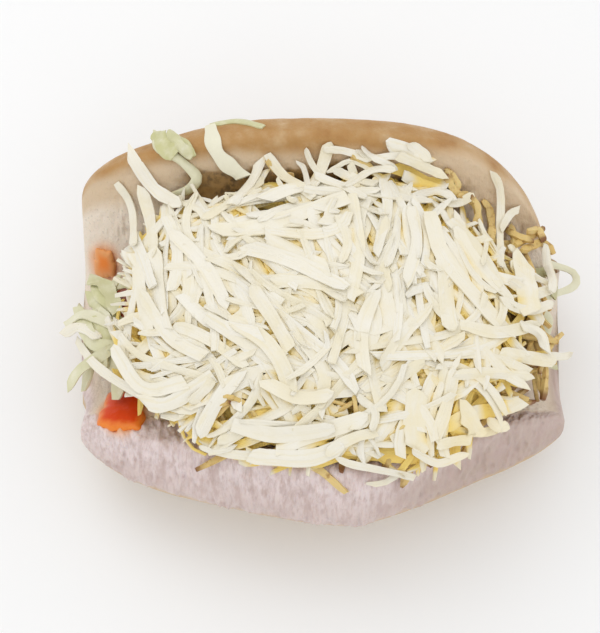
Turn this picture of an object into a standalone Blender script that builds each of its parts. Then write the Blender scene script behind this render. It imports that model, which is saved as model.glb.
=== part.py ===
"""A loaded hot dog: a soft side-cut bun laid open on its hinge, with a sausage, cabbage shreds, straw
potatoes, a heap of grated cheese and two pools of tomato sauce. Lengths are in millimetres, and each
mesh is made in metres. +X runs along the bun, -Y is the near half's side, and the origin is the middle
of the flat spot that the bun rests on."""

import math
import random

import bmesh
import bpy
import numpy as np
from mathutils import Vector
from mathutils.bvhtree import BVHTree

MM = 0.001
GAP = 0.35

# The bun: two halves that open like a book about a hinge at the bottom
BUN_LENGTH = 151.0
CREASE = np.array([0.0, 18.0])
HINGE = np.array([0.0, 8.0])
NEAR_TILT, FAR_TILT = 32.0, 52.0
NEAR_WIDTH, FAR_WIDTH = 66.0, 68.0
NEAR_THICKNESS, FAR_THICKNESS = 25.0, 29.0
RIM_RADIUS = 3.5
END_POWER = 2.6
END_FLAT = 0.995
BASE_POWER = 2.8
END_LIFT = 10.0
HINGE_BLEND = 16.0
LEFT_PULL, PULL_SHARE = 5.0, 0.6

# Each half gets narrower towards its ends, but for this share next to the hinge. It is widest at a
# place along the bun, and the pairs are the width that it keeps at an end and the power it goes by.
FIXED_SHARE, LEAST_KEPT = 0.3, 0.12
NEAR_WIDEST, NEAR_LEFT, NEAR_RIGHT = 0.17, (0.58, 1.42), (0.40, 1.06)
FAR_WIDEST, FAR_LEFT, FAR_RIGHT = 0.0, (0.57, 1.9), (-0.4, 3.0)

# The section's rounded corners, from the crease round both halves
CREASE_RADIUS, BACK_RADIUS, NEAR_EDGE_RADIUS = 3.0, 14.0, 9.0
FAR_BULGE, FAR_BULGE_PLACE, FAR_BULGE_RADIUS = 3.0, 0.62, 26.0
FAR_EDGE_OUT, FAR_EDGE_DEPTH, FAR_EDGE_RADIUS = 2.0, 0.42, 11.0
ARC_POINTS = 12
STATIONS, ROUND_STEPS = 42, 26
NORMAL_STEP = 0.004
END_CROWDING = 0.7

# The sausage lies in the crease, against both halves
SAUSAGE_RADIUS = 11.5
SAUSAGE_LENGTH = 136.0
SAUSAGE_SIDES, SAUSAGE_CAP_RINGS = 18, 5

# The three heaps: middle, half length, half width, height above and depth below their level
HEAP_LEVEL_TILT = 0.083
CABBAGE_CORE = {"middle": (-5.0, -9.0, 45.0), "half": (70.0, 31.0), "rise": 5.0, "depth": 11.0,
                "droop": 4.0, "turn": 0.0}
POTATO_CORE = {"middle": (7.0, -9.0, 50.0), "half": (63.0, 39.0), "rise": 6.0, "depth": 8.0,
               "droop": 4.0, "turn": 0.0}
CHEESE_CORE = {"middle": (0.0, -9.0, 56.0), "half": (61.0, 47.0), "rise": 13.0, "depth": 10.0,
               "droop": 9.0, "turn": -7.0}
CORE_SQUARENESS = 0.86
CORE_SEGMENTS, CORE_RINGS = 32, 7
BUMPS, BUMP_HEIGHT = 5, 0.03

# Shreds sink a little into their own core, and leave the level at no more than this slope
SINK = 0.7
SHRED_SLOPE = 0.5
SKY = 120.0

# The eye that the shreds were read from: points below are pixels of a 600 by 633 picture
EYE_ELEVATION = 66.0
EYE_DISTANCE = 424.0
EYE_TARGET = np.array([0.0, -4.0, 38.0])
FOCAL_PIXELS = 1400.0
PICTURE_MIDDLE = (320.0, 321.5)

# Cheese shreds: the pixels that each passes, then its width
CHEESE_SHREDS = [
    ([(123, 161), (142, 186), (178, 212)], 4.2),
    ([(112, 190), (129, 218), (134, 250), (158, 272)], 3.0),
    ([(138, 196), (147, 226), (152, 262)], 4.0),
    ([(257, 160), (246, 184), (228, 207)], 3.6),
    ([(262, 156), (284, 182), (310, 200)], 3.2),
    ([(324, 144), (319, 166), (307, 187)], 4.2),
    ([(300, 192), (338, 190), (376, 188)], 3.0),
    ([(381, 146), (402, 149), (426, 162), (446, 204)], 4.6),
    ([(385, 166), (412, 174), (443, 185)], 4.2),
    ([(255, 222), (292, 206), (336, 212)], 3.2),
    ([(378, 178), (384, 205), (374, 254)], 3.6),
    ([(241, 250), (292, 263), (346, 288)], 4.8),
    ([(348, 196), (357, 246), (350, 300)], 4.2),
    ([(488, 168), (495, 202), (498, 262)], 2.6),
    ([(425, 213), (446, 258), (508, 330)], 5.6),
    ([(452, 224), (478, 262), (512, 302)], 4.0),
    ([(512, 252), (524, 284), (536, 322)], 6.0),
    ([(408, 204), (414, 242), (404, 282)], 4.0),
    ([(78, 350), (104, 384), (150, 403)], 3.2),
    ([(118, 366), (146, 394), (188, 386)], 4.6),
    ([(61, 340), (78, 334), (100, 345), (146, 350)], 3.6),
    ([(150, 426), (172, 410), (216, 380)], 5.0),
    ([(203, 442), (216, 412), (240, 376)], 4.6),
    ([(236, 428), (284, 440), (338, 428)], 5.0),
    ([(254, 458), (302, 462), (348, 446)], 5.4),
    ([(304, 342), (326, 372), (322, 408)], 4.0),
    ([(420, 386), (417, 420), (421, 452)], 7.0),
    ([(456, 364), (449, 402), (438, 436)], 4.2),
    ([(456, 370), (494, 368), (532, 371)], 3.6),
    ([(462, 404), (474, 418), (478, 438)], 6.4),
    ([(416, 452), (442, 470), (470, 466)], 3.6),
    ([(496, 352), (524, 352), (550, 348), (573, 345)], 2.8),
    ([(500, 347), (528, 350), (552, 364)], 4.4),
    ([(168, 236), (202, 268), (228, 310)], 4.6),
    ([(250, 290), (272, 318), (292, 352)], 4.4),
    ([(180, 300), (214, 326), (262, 336)], 4.4),
    ([(140, 300), (170, 340), (206, 362)], 4.4),
    ([(374, 290), (362, 330), (366, 372)], 4.6),
    ([(430, 300), (402, 334), (382, 366)], 4.4),
    ([(460, 320), (500, 326), (536, 322)], 4.0),
    ([(264, 382), (300, 398), (336, 396)], 4.4),
]
CHEESE_THICKNESS = 1.7

# Loose cheese: how many, how far out, how long and wide, how its heading spreads, and how much it bends
LOOSE_CHEESE = 6
LOOSE_REACH = 0.72
LOOSE_LENGTHS, LOOSE_WIDTHS = (22.0, 38.0), (3.4, 5.0)
LOOSE_SPREAD, LOOSE_BEND = 0.7, 0.35
GOLDEN_SHARE = 0.618034

# A shred keeps this share of its width at its two tips
TIP_SHARE, TIP_POWER = 0.45, 2.4

# Cabbage shreds show at the far rim and both ends
CABBAGE_SHREDS = [
    ([(149, 131), (154, 152), (178, 168), (192, 186), (190, 212), (182, 246)], 3.4),
    ([(155, 150), (163, 137), (177, 146), (190, 163)], 2.4),
    ([(258, 129), (230, 125), (206, 129), (212, 158), (238, 184), (266, 238)], 3.4),
    ([(84, 300), (104, 310), (132, 308)], 3.6),
    ([(90, 330), (106, 340), (122, 362)], 4.0),
    ([(70, 396), (84, 380), (99, 366)], 3.0),
    ([(78, 318), (94, 350), (116, 352)], 3.4),
    ([(545, 257), (572, 259), (572, 277), (540, 284), (508, 300)], 2.4),
    ([(524, 296), (549, 304), (546, 330)], 3.0),
]
CABBAGE_THICKNESS = 1.5

# Straw potatoes stick out at the near edge and in the far right corner
POTATO_STRAWS = [
    ([(292, 426), (302, 458), (326, 471), (352, 492)], 2.1),
    ([(342, 420), (347, 448), (346, 472)], 1.8),
    ([(412, 424), (394, 447), (366, 460)], 2.0),
    ([(420, 420), (419, 452), (406, 488)], 2.1),
    ([(262, 424), (240, 452), (202, 478)], 1.8),
    ([(464, 408), (471, 438), (462, 461)], 2.0),
    ([(506, 222), (511, 238), (508, 253), (494, 282)], 2.2),
    ([(486, 268), (512, 244), (526, 242), (538, 228)], 2.2),
    ([(488, 258), (518, 246), (534, 253), (545, 264)], 2.2),
]
POTATO_THICKNESS = 1.8

# Tomato sauce: place along the bun and round its section, as shares, reach each way, and height
FRONT_SAUCE = {"place": (-0.81, 0.15), "reach": (0.1, 0.042), "height": 1.6}
BACK_SAUCE = {"place": (-0.905, 0.945), "reach": (0.045, 0.018), "height": 1.3}
SAUCE_SEGMENTS, SAUCE_RINGS = 18, 3
SAUCE_WOBBLE = 0.08


def arm_axes(tilt, side):
    """Two directions across the bun: out along a half's cut face, and from that face into its crust."""
    angle = math.radians(tilt)
    along = np.array([side * math.cos(angle), math.sin(angle)])
    into = np.array([side * math.sin(angle), -math.cos(angle)])
    return along, into


def rounded(corners):
    """A closed outline through (corner, radius) pairs, each corner replaced by an arc."""
    places = [np.array(corner) for corner, _ in corners]
    outline = []
    for i, (place, (_, radius)) in enumerate(zip(places, corners)):
        back = places[i - 1] - place
        ahead = places[(i + 1) % len(places)] - place
        back_length, ahead_length = np.linalg.norm(back), np.linalg.norm(ahead)
        back, ahead = back / back_length, ahead / ahead_length
        half_angle = math.acos(float(np.clip(back @ ahead, -1, 1))) / 2
        cut = min(radius / math.tan(half_angle), 0.49 * min(back_length, ahead_length))
        radius = cut * math.tan(half_angle)
        bisector = (back + ahead) / np.linalg.norm(back + ahead)
        middle = place + bisector * radius / math.sin(half_angle)
        start, end = place + back * cut - middle, place + ahead * cut - middle
        first, last = math.atan2(start[1], start[0]), math.atan2(end[1], end[0])
        turn = (last - first + math.pi) % (2 * math.pi) - math.pi
        angles = first + turn * np.linspace(0, 1, ARC_POINTS)
        outline.append(middle + radius * np.stack([np.cos(angles), np.sin(angles)], axis=1))
    return np.concatenate(outline)


def bun_section():
    """The bun's middle section, from the crease along the near half, under the hinge and back."""
    near_along, near_into = arm_axes(NEAR_TILT, -1)
    far_along, far_into = arm_axes(FAR_TILT, 1)
    return rounded([
        (CREASE, CREASE_RADIUS),
        (CREASE + NEAR_WIDTH * near_along, RIM_RADIUS),
        (CREASE + (NEAR_WIDTH + 1) * near_along + NEAR_THICKNESS * near_into, NEAR_EDGE_RADIUS),
        (CREASE + 2 * near_along + NEAR_THICKNESS * near_into, BACK_RADIUS),
        (CREASE - 6 * far_along + FAR_THICKNESS * far_into, BACK_RADIUS),
        (CREASE + FAR_BULGE_PLACE * FAR_WIDTH * far_along + (FAR_THICKNESS + FAR_BULGE) * far_into,
         FAR_BULGE_RADIUS),
        (CREASE + (FAR_WIDTH + FAR_EDGE_OUT) * far_along + FAR_EDGE_DEPTH * FAR_THICKNESS * far_into,
         FAR_EDGE_RADIUS),
        (CREASE + FAR_WIDTH * far_along, RIM_RADIUS),
    ])


def walk_along(points):
    """The length walked along a line of points by each of them."""
    return np.concatenate([[0.0], np.cumsum(np.linalg.norm(np.diff(points, axis=0), axis=1))])


def around(outline, turns):
    """Points of a closed outline at these shares of its length, and the normals that point out of it."""
    closed = np.concatenate([outline, outline[:1]])
    walked = walk_along(closed)
    place = (np.asarray(turns) % 1.0) * walked[-1]
    step = NORMAL_STEP * walked[-1]
    points, before, after = (
        np.stack([np.interp((place + shift) % walked[-1], walked, closed[:, k]) for k in (0, 1)], axis=-1)
        for shift in (0.0, -step, step)
    )
    along = after - before
    along /= np.linalg.norm(along, axis=-1, keepdims=True)
    return points, np.stack([along[..., 1], -along[..., 0]], axis=-1)


def superellipse(share, power):
    return np.clip(1 - np.abs(share) ** power, 0, 1) ** (1 / power)


def smoothstep(value):
    value = np.clip(value, 0, 1)
    return value * value * (3 - 2 * value)


def reach(share, widest, left, right):
    """How much of its full width a half keeps, from `widest` to (share kept, power) at either end."""
    to_left = share < widest
    away = np.where(to_left, (widest - share) / (widest + 1), (share - widest) / (1 - widest))
    kept = np.where(to_left, left[0], right[0])
    power = np.where(to_left, left[1], right[1])
    return kept + (1 - kept) * np.clip(1 - away ** power, 0, 1) ** (1 / power)


SECTION = bun_section()


def bun_surface(share, turns, offset=0.0):
    """Points of the bun at `share`, -1 to 1 along it, and `turns`, 0 to 1 round its section.

    The section's points are carried from a medial line, which runs up both halves from the hinge. The
    halves get shorter towards the ends, and the thickness about the medial line closes there. The near
    half's left end is pulled in by LEFT_PULL at its rim."""
    share, turns = np.broadcast_arrays(np.asarray(share, float), np.asarray(turns, float))
    flat, out = around(SECTION, turns)
    far = (flat[..., 0] > CREASE[0])[..., None]
    near_along, near_into = arm_axes(NEAR_TILT, -1)
    far_along, far_into = arm_axes(FAR_TILT, 1)
    along = np.where(far, far_along, near_along)
    into = np.where(far, far_into, near_into)
    half_thickness = np.where(far, FAR_THICKNESS, NEAR_THICKNESS) / 2
    width = np.where(far, FAR_WIDTH, NEAR_WIDTH)[..., 0]
    kept = np.where(far[..., 0], reach(share, FAR_WIDEST, FAR_LEFT, FAR_RIGHT),
                    reach(share, NEAR_WIDEST, NEAR_LEFT, NEAR_RIGHT))
    kept = np.maximum(kept, LEAST_KEPT)
    up = ((flat - CREASE) * along).sum(axis=-1)
    fixed = FIXED_SHARE * width
    moved = np.where(up > fixed, fixed + (up - fixed) * (width * kept - fixed) / (width - fixed), up)
    weight = smoothstep(up / HINGE_BLEND)[..., None]
    lift = END_LIFT * (1 - superellipse(share, BASE_POWER))[..., None] * np.array([0.0, 1.0])
    first_arm = CREASE + up[..., None] * along + half_thickness * into
    moved_arm = CREASE + moved[..., None] * along + half_thickness * into
    from_medial = flat - HINGE * (1 - weight) - first_arm * weight
    medial = (HINGE + lift) * (1 - weight) + moved_arm * weight
    closing = superellipse(END_FLAT * share, END_POWER)[..., None]
    across = medial + closing * from_medial + offset * out
    height = np.maximum(across[..., 1], -offset)
    pull = np.where(far[..., 0], 0.0, smoothstep(up / width / PULL_SHARE)) * np.clip(-share, 0, 1) ** 2
    along_bun = (BUN_LENGTH / 2 + offset) * share + LEFT_PULL * pull
    return np.stack([along_bun, across[..., 0], height], axis=-1)


def grid_faces(rows, columns):
    """Quads of a grid that closes round its columns."""
    i, j = np.meshgrid(np.arange(rows - 1), np.arange(columns), indexing="ij")
    here, beside = i * columns + j, i * columns + (j + 1) % columns
    return np.stack([here, here + columns, beside + columns, beside], axis=-1).reshape(-1, 4).tolist()


def capped(rings):
    """Vertices and faces of rings of points, closed by one face at each end."""
    rows, columns, _ = rings.shape
    first_face = list(range(columns))
    last_face = list(range((rows - 1) * columns, rows * columns))[::-1]
    return rings.reshape(-1, 3), grid_faces(rows, columns) + [first_face, last_face]


def make_object(name, points, faces):
    """An object with this closed mesh, in metres, its faces turned outwards and split into triangles."""
    mesh = bpy.data.meshes.new(name)
    mesh.from_pydata((np.asarray(points) * MM).tolist(), [], faces)
    work = bmesh.new()
    work.from_mesh(mesh)
    bmesh.ops.triangulate(work, faces=work.faces)
    bmesh.ops.recalc_face_normals(work, faces=work.faces)
    work.to_mesh(mesh)
    work.free()
    thing = bpy.data.objects.new(name, mesh)
    bpy.context.scene.collection.objects.link(thing)
    return thing


def material(thing, colour, roughness):
    """Gives an object its own Principled material and smooth shading."""
    finish = bpy.data.materials.new(thing.name)
    finish.use_nodes = True
    shader = finish.node_tree.nodes["Principled BSDF"]
    shader.inputs["Base Color"].default_value = (*colour, 1.0)
    shader.inputs["Roughness"].default_value = roughness
    shader.inputs["Metallic"].default_value = 0.0
    finish.diffuse_color = (*colour, 1.0)
    thing.data.materials.clear()
    thing.data.materials.append(finish)
    thing.data.shade_smooth()
    thing.data.set_sharp_from_angle(angle=math.radians(50))


def bun_mesh(offset=0.0):
    even = np.linspace(-1, 1, STATIONS)
    share = (1 - END_CROWDING) * even + END_CROWDING * np.sin(even * math.pi / 2)
    turns = np.arange(ROUND_STEPS) / ROUND_STEPS
    return capped(bun_surface(share[:, None], turns[None, :], offset))


def sausage_axis():
    """Where the sausage's middle line crosses the section: both cut faces are a radius and a gap away."""
    near_along, _ = arm_axes(NEAR_TILT, -1)
    far_along, _ = arm_axes(FAR_TILT, 1)
    half_opening = math.acos(float(near_along @ far_along)) / 2
    bisector = (near_along + far_along) / np.linalg.norm(near_along + far_along)
    return CREASE + bisector * (SAUSAGE_RADIUS + 2 * GAP) / math.sin(half_opening)


def sausage_mesh(offset=0.0):
    """A tube with round ends."""
    radius = SAUSAGE_RADIUS + offset
    straight = SAUSAGE_LENGTH / 2 - SAUSAGE_RADIUS
    rise = np.linspace(0, math.pi / 2, SAUSAGE_CAP_RINGS + 1)[1:]
    x = np.concatenate([-straight - radius * np.cos(rise), straight + radius * np.cos(rise[::-1])])
    size = np.concatenate([np.sin(rise), np.sin(rise[::-1])]) * radius
    angle = np.arange(SAUSAGE_SIDES) * 2 * math.pi / SAUSAGE_SIDES
    y, z = sausage_axis()
    rings = np.stack([
        np.broadcast_to(x[:, None], (len(x), SAUSAGE_SIDES)),
        y + size[:, None] * np.cos(angle),
        z + size[:, None] * np.sin(angle),
    ], axis=-1)
    return capped(rings)


def core_mesh(core, offset=0.0):
    """A lens with an oval outline. Its level tilts up to the far side and droops at the ends."""
    middle_x, middle_y, level = core["middle"]
    half_x, half_y = core["half"]
    latitude = np.linspace(-math.pi / 2, math.pi / 2, 2 * CORE_RINGS + 1)[1:-1, None]
    angle = np.arange(CORE_SEGMENTS)[None, :] * 2 * math.pi / CORE_SEGMENTS
    ring = np.cos(latitude) * (1 + BUMP_HEIGHT * np.sin(BUMPS * angle + 2))
    turn = math.radians(core["turn"])
    long = (half_x + offset) * ring * np.sign(np.cos(angle)) * np.abs(np.cos(angle)) ** CORE_SQUARENESS
    wide = (half_y + offset) * ring * np.sign(np.sin(angle)) * np.abs(np.sin(angle)) ** CORE_SQUARENESS
    x = middle_x + long * math.cos(turn) - wide * math.sin(turn)
    y = middle_y + long * math.sin(turn) + wide * math.cos(turn)
    tall = np.where(latitude > 0, core["rise"], core["depth"]) + offset
    slope = HEAP_LEVEL_TILT * (y - middle_y) - core["droop"] * (np.abs(x) / (BUN_LENGTH / 2)) ** 3
    z = level + slope + tall * np.sin(latitude)
    return capped(np.stack([x, y, np.broadcast_to(z, x.shape)], axis=-1))


def skin_of(*meshes):
    """A ray tester for several meshes at once."""
    points, faces = [], []
    for mesh_points, mesh_faces in meshes:
        shift = len(points)
        points += [Vector(point) for point in mesh_points]
        faces += [[shift + index for index in face] for face in mesh_faces]
    return BVHTree.FromPolygons(points, faces)


def sight_line(pixel):
    """The eye's place and the direction in which it sees a pixel."""
    elevation = math.radians(EYE_ELEVATION)
    back = np.array([0.0, -math.cos(elevation), math.sin(elevation)])
    upward = np.array([0.0, math.sin(elevation), math.cos(elevation)])
    right = (pixel[0] - PICTURE_MIDDLE[0]) / FOCAL_PIXELS
    up = (PICTURE_MIDDLE[1] - pixel[1]) / FOCAL_PIXELS
    direction = np.array([right, 0.0, 0.0]) + up * upward - back
    return EYE_TARGET + EYE_DISTANCE * back, direction / np.linalg.norm(direction)


def seen_points(pixels, skin):
    """Where the eye sees these pixels on the skin. One that misses it keeps its neighbour's height."""
    hits = []
    for pixel in pixels:
        eye, direction = sight_line(pixel)
        hit = skin.ray_cast(Vector(eye), Vector(direction))[0]
        hits.append(None if hit is None else np.array(hit))
    known = [hit for hit in hits if hit is not None]
    for i, hit in enumerate(hits):
        if hit is None:
            eye, direction = sight_line(pixels[i])
            beside = hits[i - 1] if i and hits[i - 1] is not None else known[0]
            hits[i] = eye + direction * (beside[2] - eye[2]) / direction[2]
    return np.array(hits)


def smooth_path(points, steps):
    """A curve through the points: Catmull-Rom pieces, read at equal lengths."""
    padded = np.concatenate([[2 * points[0] - points[1]], points, [2 * points[-1] - points[-2]]])
    share = np.linspace(0, 1, 9)[:, None]
    pieces = []
    for a, b, c, d in zip(padded, padded[1:], padded[2:], padded[3:]):
        pieces.append(0.5 * (2 * b + (c - a) * share + (2 * a - 5 * b + 4 * c - d) * share ** 2
                             + (3 * b - a - 3 * c + d) * share ** 3))
    curve = np.concatenate(pieces)
    walked = walk_along(curve)
    places = np.linspace(0, walked[-1], steps)
    return np.stack([np.interp(places, walked, curve[:, k]) for k in range(3)], axis=1)


def laid_down(path, skin, clearance):
    """The path lowered or raised to lie on the skin, never steeper than a shred bends."""
    walked = walk_along(path[:, :2])
    support = np.full(len(path), -np.inf)
    for i, (x, y, _) in enumerate(path):
        hit = skin.ray_cast(Vector((x, y, SKY)), Vector((0, 0, -1)))[0]
        if hit is not None:
            support[i] = hit[2]
    held = support[:, None] - SHRED_SLOPE * np.abs(walked[:, None] - walked[None, :])
    lying = path.copy()
    lying[:, 2] = held.max(axis=0) + clearance
    return lying


def strip_mesh(path, width, thickness):
    """A flat shred along a path: a four-sided band, narrower at its two ends."""
    ahead = np.gradient(path, axis=0)
    ahead /= np.linalg.norm(ahead, axis=1)[:, None]
    side = np.cross(ahead, [0.0, 0.0, 1.0])
    side /= np.linalg.norm(side, axis=1)[:, None]
    up = np.cross(side, ahead)
    share = np.linspace(-1, 1, len(path))
    slim = (TIP_SHARE + (1 - TIP_SHARE) * superellipse(share, TIP_POWER))[:, None]
    across, tall = side * slim * width / 2, up * slim * thickness / 2
    corners = [path - across - tall, path + across - tall, path + across + tall, path - across + tall]
    return capped(np.stack(corners, axis=1))


def seen_strips(shreds, seen_skin, lying_skin, thickness, steps, offset=0.0):
    """Strips that pass the pixels given for them on one skin, and lie on another."""
    strips = []
    for pixels, width in shreds:
        path = smooth_path(seen_points(pixels, seen_skin), steps + 2 * (len(pixels) - 3))
        path = laid_down(path, lying_skin, thickness / 2)
        strips.append(strip_mesh(path, width + 2 * offset, thickness + 2 * offset))
    return strips


def loose_strips(count, core, skin, thickness, steps, seed):
    """Strips strewn over a core, most of them across the bun, each with a slight bend."""
    draw = random.Random(seed)
    strips = []
    for i in range(count):
        angle = 2 * math.pi * (i * GOLDEN_SHARE % 1)
        away = math.sqrt((i + 0.5) / count) * LOOSE_REACH
        middle = np.array([core["middle"][0] + core["half"][0] * away * math.cos(angle),
                           core["middle"][1] + core["half"][1] * away * math.sin(angle), core["middle"][2]])
        turn = draw.gauss(math.pi / 2, LOOSE_SPREAD)
        half = draw.uniform(*LOOSE_LENGTHS) / 2
        ahead = np.array([math.cos(turn), math.sin(turn), 0.0]) * half
        bend = np.array([-ahead[1], ahead[0], 0.0]) * draw.uniform(-LOOSE_BEND, LOOSE_BEND)
        path = smooth_path(np.array([middle - ahead, middle + bend, middle + ahead]), steps)
        path = laid_down(path, skin, thickness / 2)
        strips.append(strip_mesh(path, draw.uniform(*LOOSE_WIDTHS), thickness))
    return strips


def applied(thing):
    """Makes what the modifiers give the object's own mesh."""
    bpy.context.view_layer.update()
    seen = thing.evaluated_get(bpy.context.evaluated_depsgraph_get())
    mesh = bpy.data.meshes.new_from_object(seen)
    thing.modifiers.clear()
    old = thing.data
    thing.data = mesh
    bpy.data.meshes.remove(old)


def removed(thing):
    mesh = thing.data
    bpy.data.objects.remove(thing)
    bpy.data.meshes.remove(mesh)


def fused(core, strips):
    """The core with every strip joined on: one union with a collection, which is then emptied."""
    group = bpy.data.collections.new("strips")
    bpy.context.scene.collection.children.link(group)
    for i, (points, faces) in enumerate(strips):
        strip = make_object(f"strip_{i}", points, faces)
        bpy.context.scene.collection.objects.unlink(strip)
        group.objects.link(strip)
    union = core.modifiers.new("union", "BOOLEAN")
    union.operation, union.solver = "UNION", "MANIFOLD"
    union.operand_type, union.collection = "COLLECTION", group
    applied(core)
    for strip in list(group.objects):
        removed(strip)
    bpy.data.collections.remove(group)


def cut_clear(thing, cutters):
    """Cuts each larger copy of a neighbour out of the object, which leaves the gap between them."""
    for cutter in cutters:
        cut = thing.modifiers.new("clear", "BOOLEAN")
        cut.operation, cut.solver, cut.object = "DIFFERENCE", "MANIFOLD", cutter
        applied(thing)


def keep_largest(thing):
    """Drops loose scraps and fills sealed hollows: only the shell that bounds the most space stays."""
    work = bmesh.new()
    work.from_mesh(thing.data)
    bmesh.ops.triangulate(work, faces=work.faces)
    work.faces.ensure_lookup_table()
    shell_of = {}
    shells = []
    for face in work.faces:
        if face in shell_of:
            continue
        shell, waiting = [], [face]
        shell_of[face] = len(shells)
        while waiting:
            here = waiting.pop()
            shell.append(here)
            for edge in here.edges:
                for beside in edge.link_faces:
                    if beside not in shell_of:
                        shell_of[beside] = len(shells)
                        waiting.append(beside)
        shells.append(shell)

    def volume(shell):
        return sum(f.verts[0].co.dot(f.verts[1].co.cross(f.verts[2].co)) / 6 for f in shell)

    largest = max(shells, key=volume)
    kept = set(largest)
    bmesh.ops.delete(work, geom=[f for f in work.faces if f not in kept], context="FACES")
    work.to_mesh(thing.data)
    work.free()


def heap(name, core, strips, cutters):
    """A heap: its core and strips fused, then cut clear of what lies round it."""
    thing = make_object(name, *core)
    fused(thing, strips)
    cut_clear(thing, cutters)
    keep_largest(thing)
    return thing


def sauce_mesh(sauce, offset=0.0):
    """A pool on the bun: a patch of its surface, raised by a round-edged height."""
    along, round_it = sauce["place"]
    reach_along, reach_round = sauce["reach"]
    angle = np.arange(SAUCE_SEGMENTS)[None, :] * 2 * math.pi / SAUCE_SEGMENTS
    away = np.linspace(0, 1, SAUCE_RINGS + 1)[1:, None]
    wobble = 1 + SAUCE_WOBBLE * (np.sin(3 * angle + 0.8) + 0.6 * np.sin(5 * angle))
    reach_along += offset / (BUN_LENGTH / 2)
    reach_round += offset / walk_along(SECTION)[-1]
    share = along + reach_along * away * np.cos(angle) * wobble
    turns = round_it + reach_round * away * np.sin(angle) * wobble
    thick = sauce["height"] * np.sqrt(np.clip(1 - away ** 4, 0, 1))
    under_rings = SAUCE_RINGS if offset else SAUCE_RINGS - 1
    top = [bun_surface(share[i], turns[i], GAP + thick[i] + offset) for i in range(SAUCE_RINGS)]
    under = [bun_surface(share[i], turns[i], GAP - offset) for i in range(under_rings)]
    return capped(np.array(top + under[::-1]))


def build():
    for thing in list(bpy.data.objects):
        bpy.data.objects.remove(thing)

    bun = make_object("bun", *bun_mesh())
    sausage = make_object("sausage", *sausage_mesh())
    front_sauce = make_object("ketchup_front", *sauce_mesh(FRONT_SAUCE))
    back_sauce = make_object("ketchup_back", *sauce_mesh(BACK_SAUCE))

    wide_bun = bun_mesh(GAP)
    clear_of = [
        make_object("clear_of_bun", *wide_bun),
        make_object("clear_of_sausage", *sausage_mesh(GAP)),
        make_object("clear_of_front_sauce", *sauce_mesh(FRONT_SAUCE, GAP)),
        make_object("clear_of_back_sauce", *sauce_mesh(BACK_SAUCE, GAP)),
    ]

    whole = skin_of(wide_bun, core_mesh(CABBAGE_CORE), core_mesh(POTATO_CORE), core_mesh(CHEESE_CORE))
    under_cabbage = skin_of(wide_bun, core_mesh(CABBAGE_CORE, -SINK))
    under_potato = skin_of(wide_bun, core_mesh(POTATO_CORE, -SINK), core_mesh(CABBAGE_CORE, GAP))
    under_cheese = skin_of(wide_bun, core_mesh(CHEESE_CORE, -SINK), core_mesh(POTATO_CORE, GAP),
                           core_mesh(CABBAGE_CORE, GAP))

    def cabbage_strips(offset=0.0):
        return seen_strips(CABBAGE_SHREDS, whole, under_cabbage, CABBAGE_THICKNESS, 6, offset)

    def potato_strips(offset=0.0):
        return seen_strips(POTATO_STRAWS, whole, under_potato, POTATO_THICKNESS, 5, offset)

    cabbage = heap("cabbage_shreds", core_mesh(CABBAGE_CORE), cabbage_strips(), clear_of)
    clear_of.append(heap("clear_of_cabbage", core_mesh(CABBAGE_CORE, GAP), cabbage_strips(GAP), []))
    potato = heap("potato_straws", core_mesh(POTATO_CORE), potato_strips(), clear_of)
    clear_of.append(heap("clear_of_potato", core_mesh(POTATO_CORE, GAP), potato_strips(GAP), []))
    cheese_strips = seen_strips(CHEESE_SHREDS, whole, under_cheese, CHEESE_THICKNESS, 5)
    cheese_strips += loose_strips(LOOSE_CHEESE, CHEESE_CORE, under_cheese, CHEESE_THICKNESS, 5, seed=2)
    cheese = heap("grated_cheese", core_mesh(CHEESE_CORE), cheese_strips, clear_of)
    for cutter in clear_of:
        removed(cutter)

    material(bun, (0.75, 0.58, 0.42), 0.7)
    material(sausage, (0.42, 0.14, 0.06), 0.4)
    material(cabbage, (0.62, 0.66, 0.36), 0.5)
    material(potato, (0.72, 0.48, 0.16), 0.6)
    material(cheese, (0.87, 0.80, 0.60), 0.5)
    material(front_sauce, (0.60, 0.07, 0.01), 0.25)
    material(back_sauce, (0.60, 0.20, 0.04), 0.3)


build()
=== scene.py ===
"""Looks of a loaded hot dog: a soft bun laid open on its hinge, with a sausage, cabbage shreds, straw
potatoes, a heap of grated cheese and tomato sauce. Shapes are worked out in millimetres with numpy and
made in metres. Shreds are laid one by one on a height map of what is under them."""

import math

import bpy
import numpy as np
from mathutils import Matrix, Vector


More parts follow.
